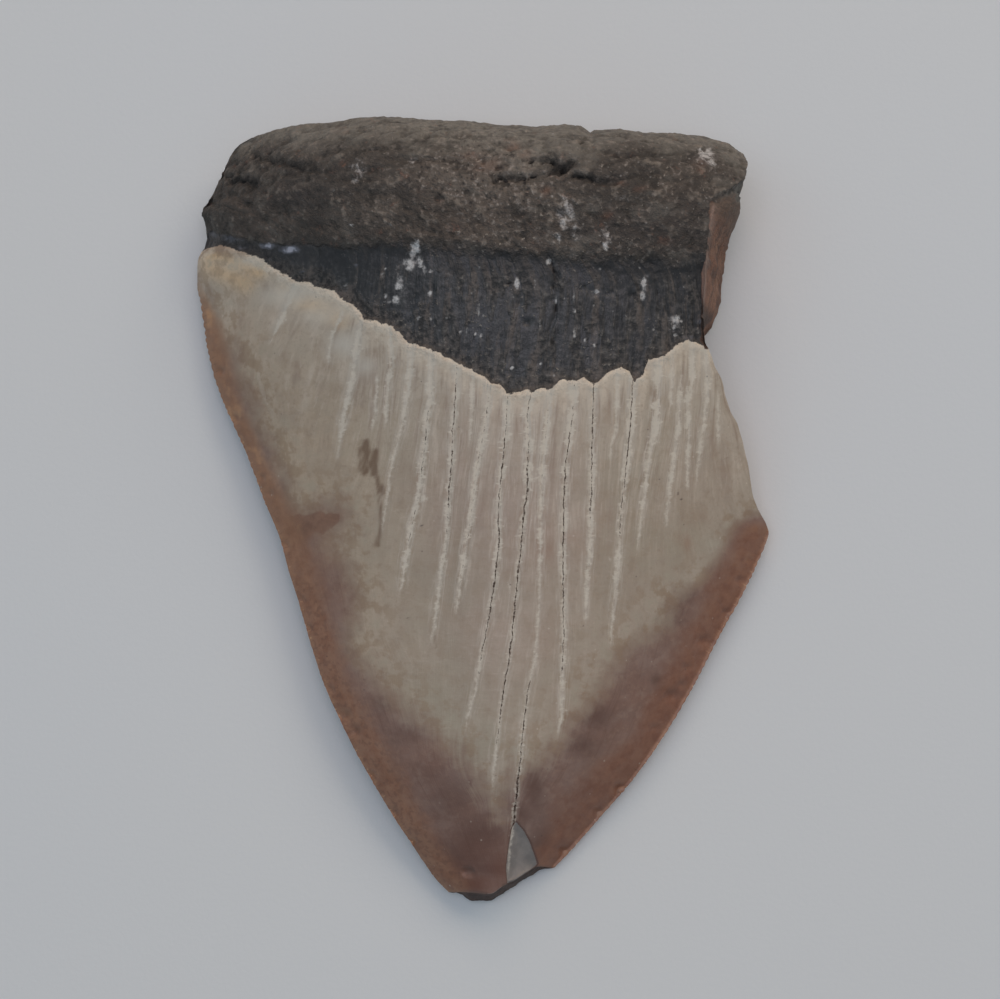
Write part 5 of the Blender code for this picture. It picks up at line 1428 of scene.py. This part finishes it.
    # ---- fine relief ------------------------------------------------------------------------------------------
    enamel_h = g.add(g.mul(n_fine, 0.014), g.add(g.mul(across, 0.016), g.mul(streak_fine, 0.020)))
    enamel_h = g.add(enamel_h, g.mul(g.mul(n_grit, g.step(crust, 1.2, 0.3)), 0.08))
    bour_h = g.add(g.mul(b_fine, -0.07), g.add(g.mul(b_streak, 0.06), g.mul(gritty, g.lerp(slick, 0.14, 0.03))))
    bour_h = g.add(bour_h, g.add(g.mul(n_small, 0.10), g.mul(chips, 0.05)))
    root_h = g.add(g.mul(n_small, 0.25), g.add(g.mul(n_fine, 0.26), g.mul(n_grit, 0.10)))
    h = g.lerp(enamel_mask, g.lerp(root_mask, bour_h, root_h), enamel_h)
    h = g.add(h, g.mul(g.mul(n_fine, broken), 0.15))
    normal = g.bump(h, 0.001)

    shader = g.new("ShaderNodeBsdfPrincipled")
    g.put(shader.inputs["Base Color"], col)
    g.put(shader.inputs["Roughness"], rough)
    g.put(shader.inputs["Normal"], normal)
    shader.inputs["Metallic"].default_value = 0.0
    shader.inputs["IOR"].default_value = 1.5
    out = g.new("ShaderNodeOutputMaterial")
    g.tree.links.new(shader.outputs[0], out.inputs["Surface"])
    mat.diffuse_color = (0.235, 0.19, 0.16, 1.0)
    return mat


tooth.data.materials.append(fossil_material())

# ---------------------------------------------------------------------------------------------------------------
# floor, light, camera
# ---------------------------------------------------------------------------------------------------------------


def paper_material():
    mat = bpy.data.materials.new("pale_floor")
    g = Graph(mat)
    mm = g.scale(g.new("ShaderNodeTexCoord").outputs["Object"], 1000.0)
    cloud = g.noise(mm, 160.0, 2.0)
    col = g.blend(g.step(cloud, 0.3, 0.7), (0.725, 0.735, 0.75, 1.0), (0.735, 0.735, 0.735, 1.0))
    shader = g.new("ShaderNodeBsdfPrincipled")
    g.put(shader.inputs["Base Color"], col)
    shader.inputs["Roughness"].default_value = 0.6
    g.put(shader.inputs["Normal"], g.bump(g.noise(mm, 0.6, 2.0), 0.00002))
    out = g.new("ShaderNodeOutputMaterial")
    g.tree.links.new(shader.outputs[0], out.inputs["Surface"])
    return mat


floor_mesh = bpy.data.meshes.new("floor")
floor_mesh.from_pydata([(-2.5, -2.5, 0), (2.5, -2.5, 0), (2.5, 2.5, 0), (-2.5, 2.5, 0)], [], [(0, 1, 2, 3)])
floor = bpy.data.objects.new("floor", floor_mesh)
bpy.context.scene.collection.objects.link(floor)
floor.data.materials.append(paper_material())


def area(name, where, size, watts, colour=(1, 1, 1), aim=(0, 0, 0.01)):
    lamp = bpy.data.lights.new(name, "AREA")
    lamp.shape = "RECTANGLE"
    lamp.size, lamp.size_y = size
    lamp.energy = watts
    lamp.color = colour
    ob = bpy.data.objects.new(name, lamp)
    ob.location = where
    ob.rotation_euler = (Vector(aim) - Vector(where)).to_track_quat("-Z", "Y").to_euler()
    bpy.context.scene.collection.objects.link(ob)
    return ob


area("window", (0.669, 0.669, 0.739), (0.7, 0.7), 3.1, (1.0, 0.876, 0.704))
area("lamp", (0.0, 0.946, 0.739), (0.7, 0.7), 2.85, (1.0, 0.731, 0.54))
area("ceiling", (0.0, 0.0, 1.2), (0.8, 0.8), 3.2, (0.966, 0.892, 1.0))
area("bounce", (-0.563, 0.0, 1.06), (0.7, 0.7), 0.71, (0.442, 0.808, 1.0))

world = bpy.data.worlds.new("room")
world.use_nodes = True
background = next(n for n in world.node_tree.nodes if n.type == "BACKGROUND")
background.inputs["Color"].default_value = (0.657, 0.884, 1.0, 1.0)
background.inputs["Strength"].default_value = 0.243
bpy.context.scene.world = world

camera_data = bpy.data.cameras.new("camera")
camera_data.sensor_width = 36.0
camera_data.lens = 36.0 * FOCAL_PX / PHOTO_W
camera_data.clip_start = 0.01
camera_data.clip_end = 20.0
camera = bpy.data.objects.new("camera", camera_data)
rotation = Matrix((CAM_RIGHT, CAM_UP, CAM_BACK)).transposed().to_4x4()
camera.matrix_world = Matrix.Translation(Vector((CAM_POS + SHIFT) * MM)) @ rotation
bpy.context.scene.collection.objects.link(camera)
bpy.context.scene.camera = camera
bpy.context.scene.view_settings.view_transform = "Standard"
bpy.context.scene.view_settings.look = "None"
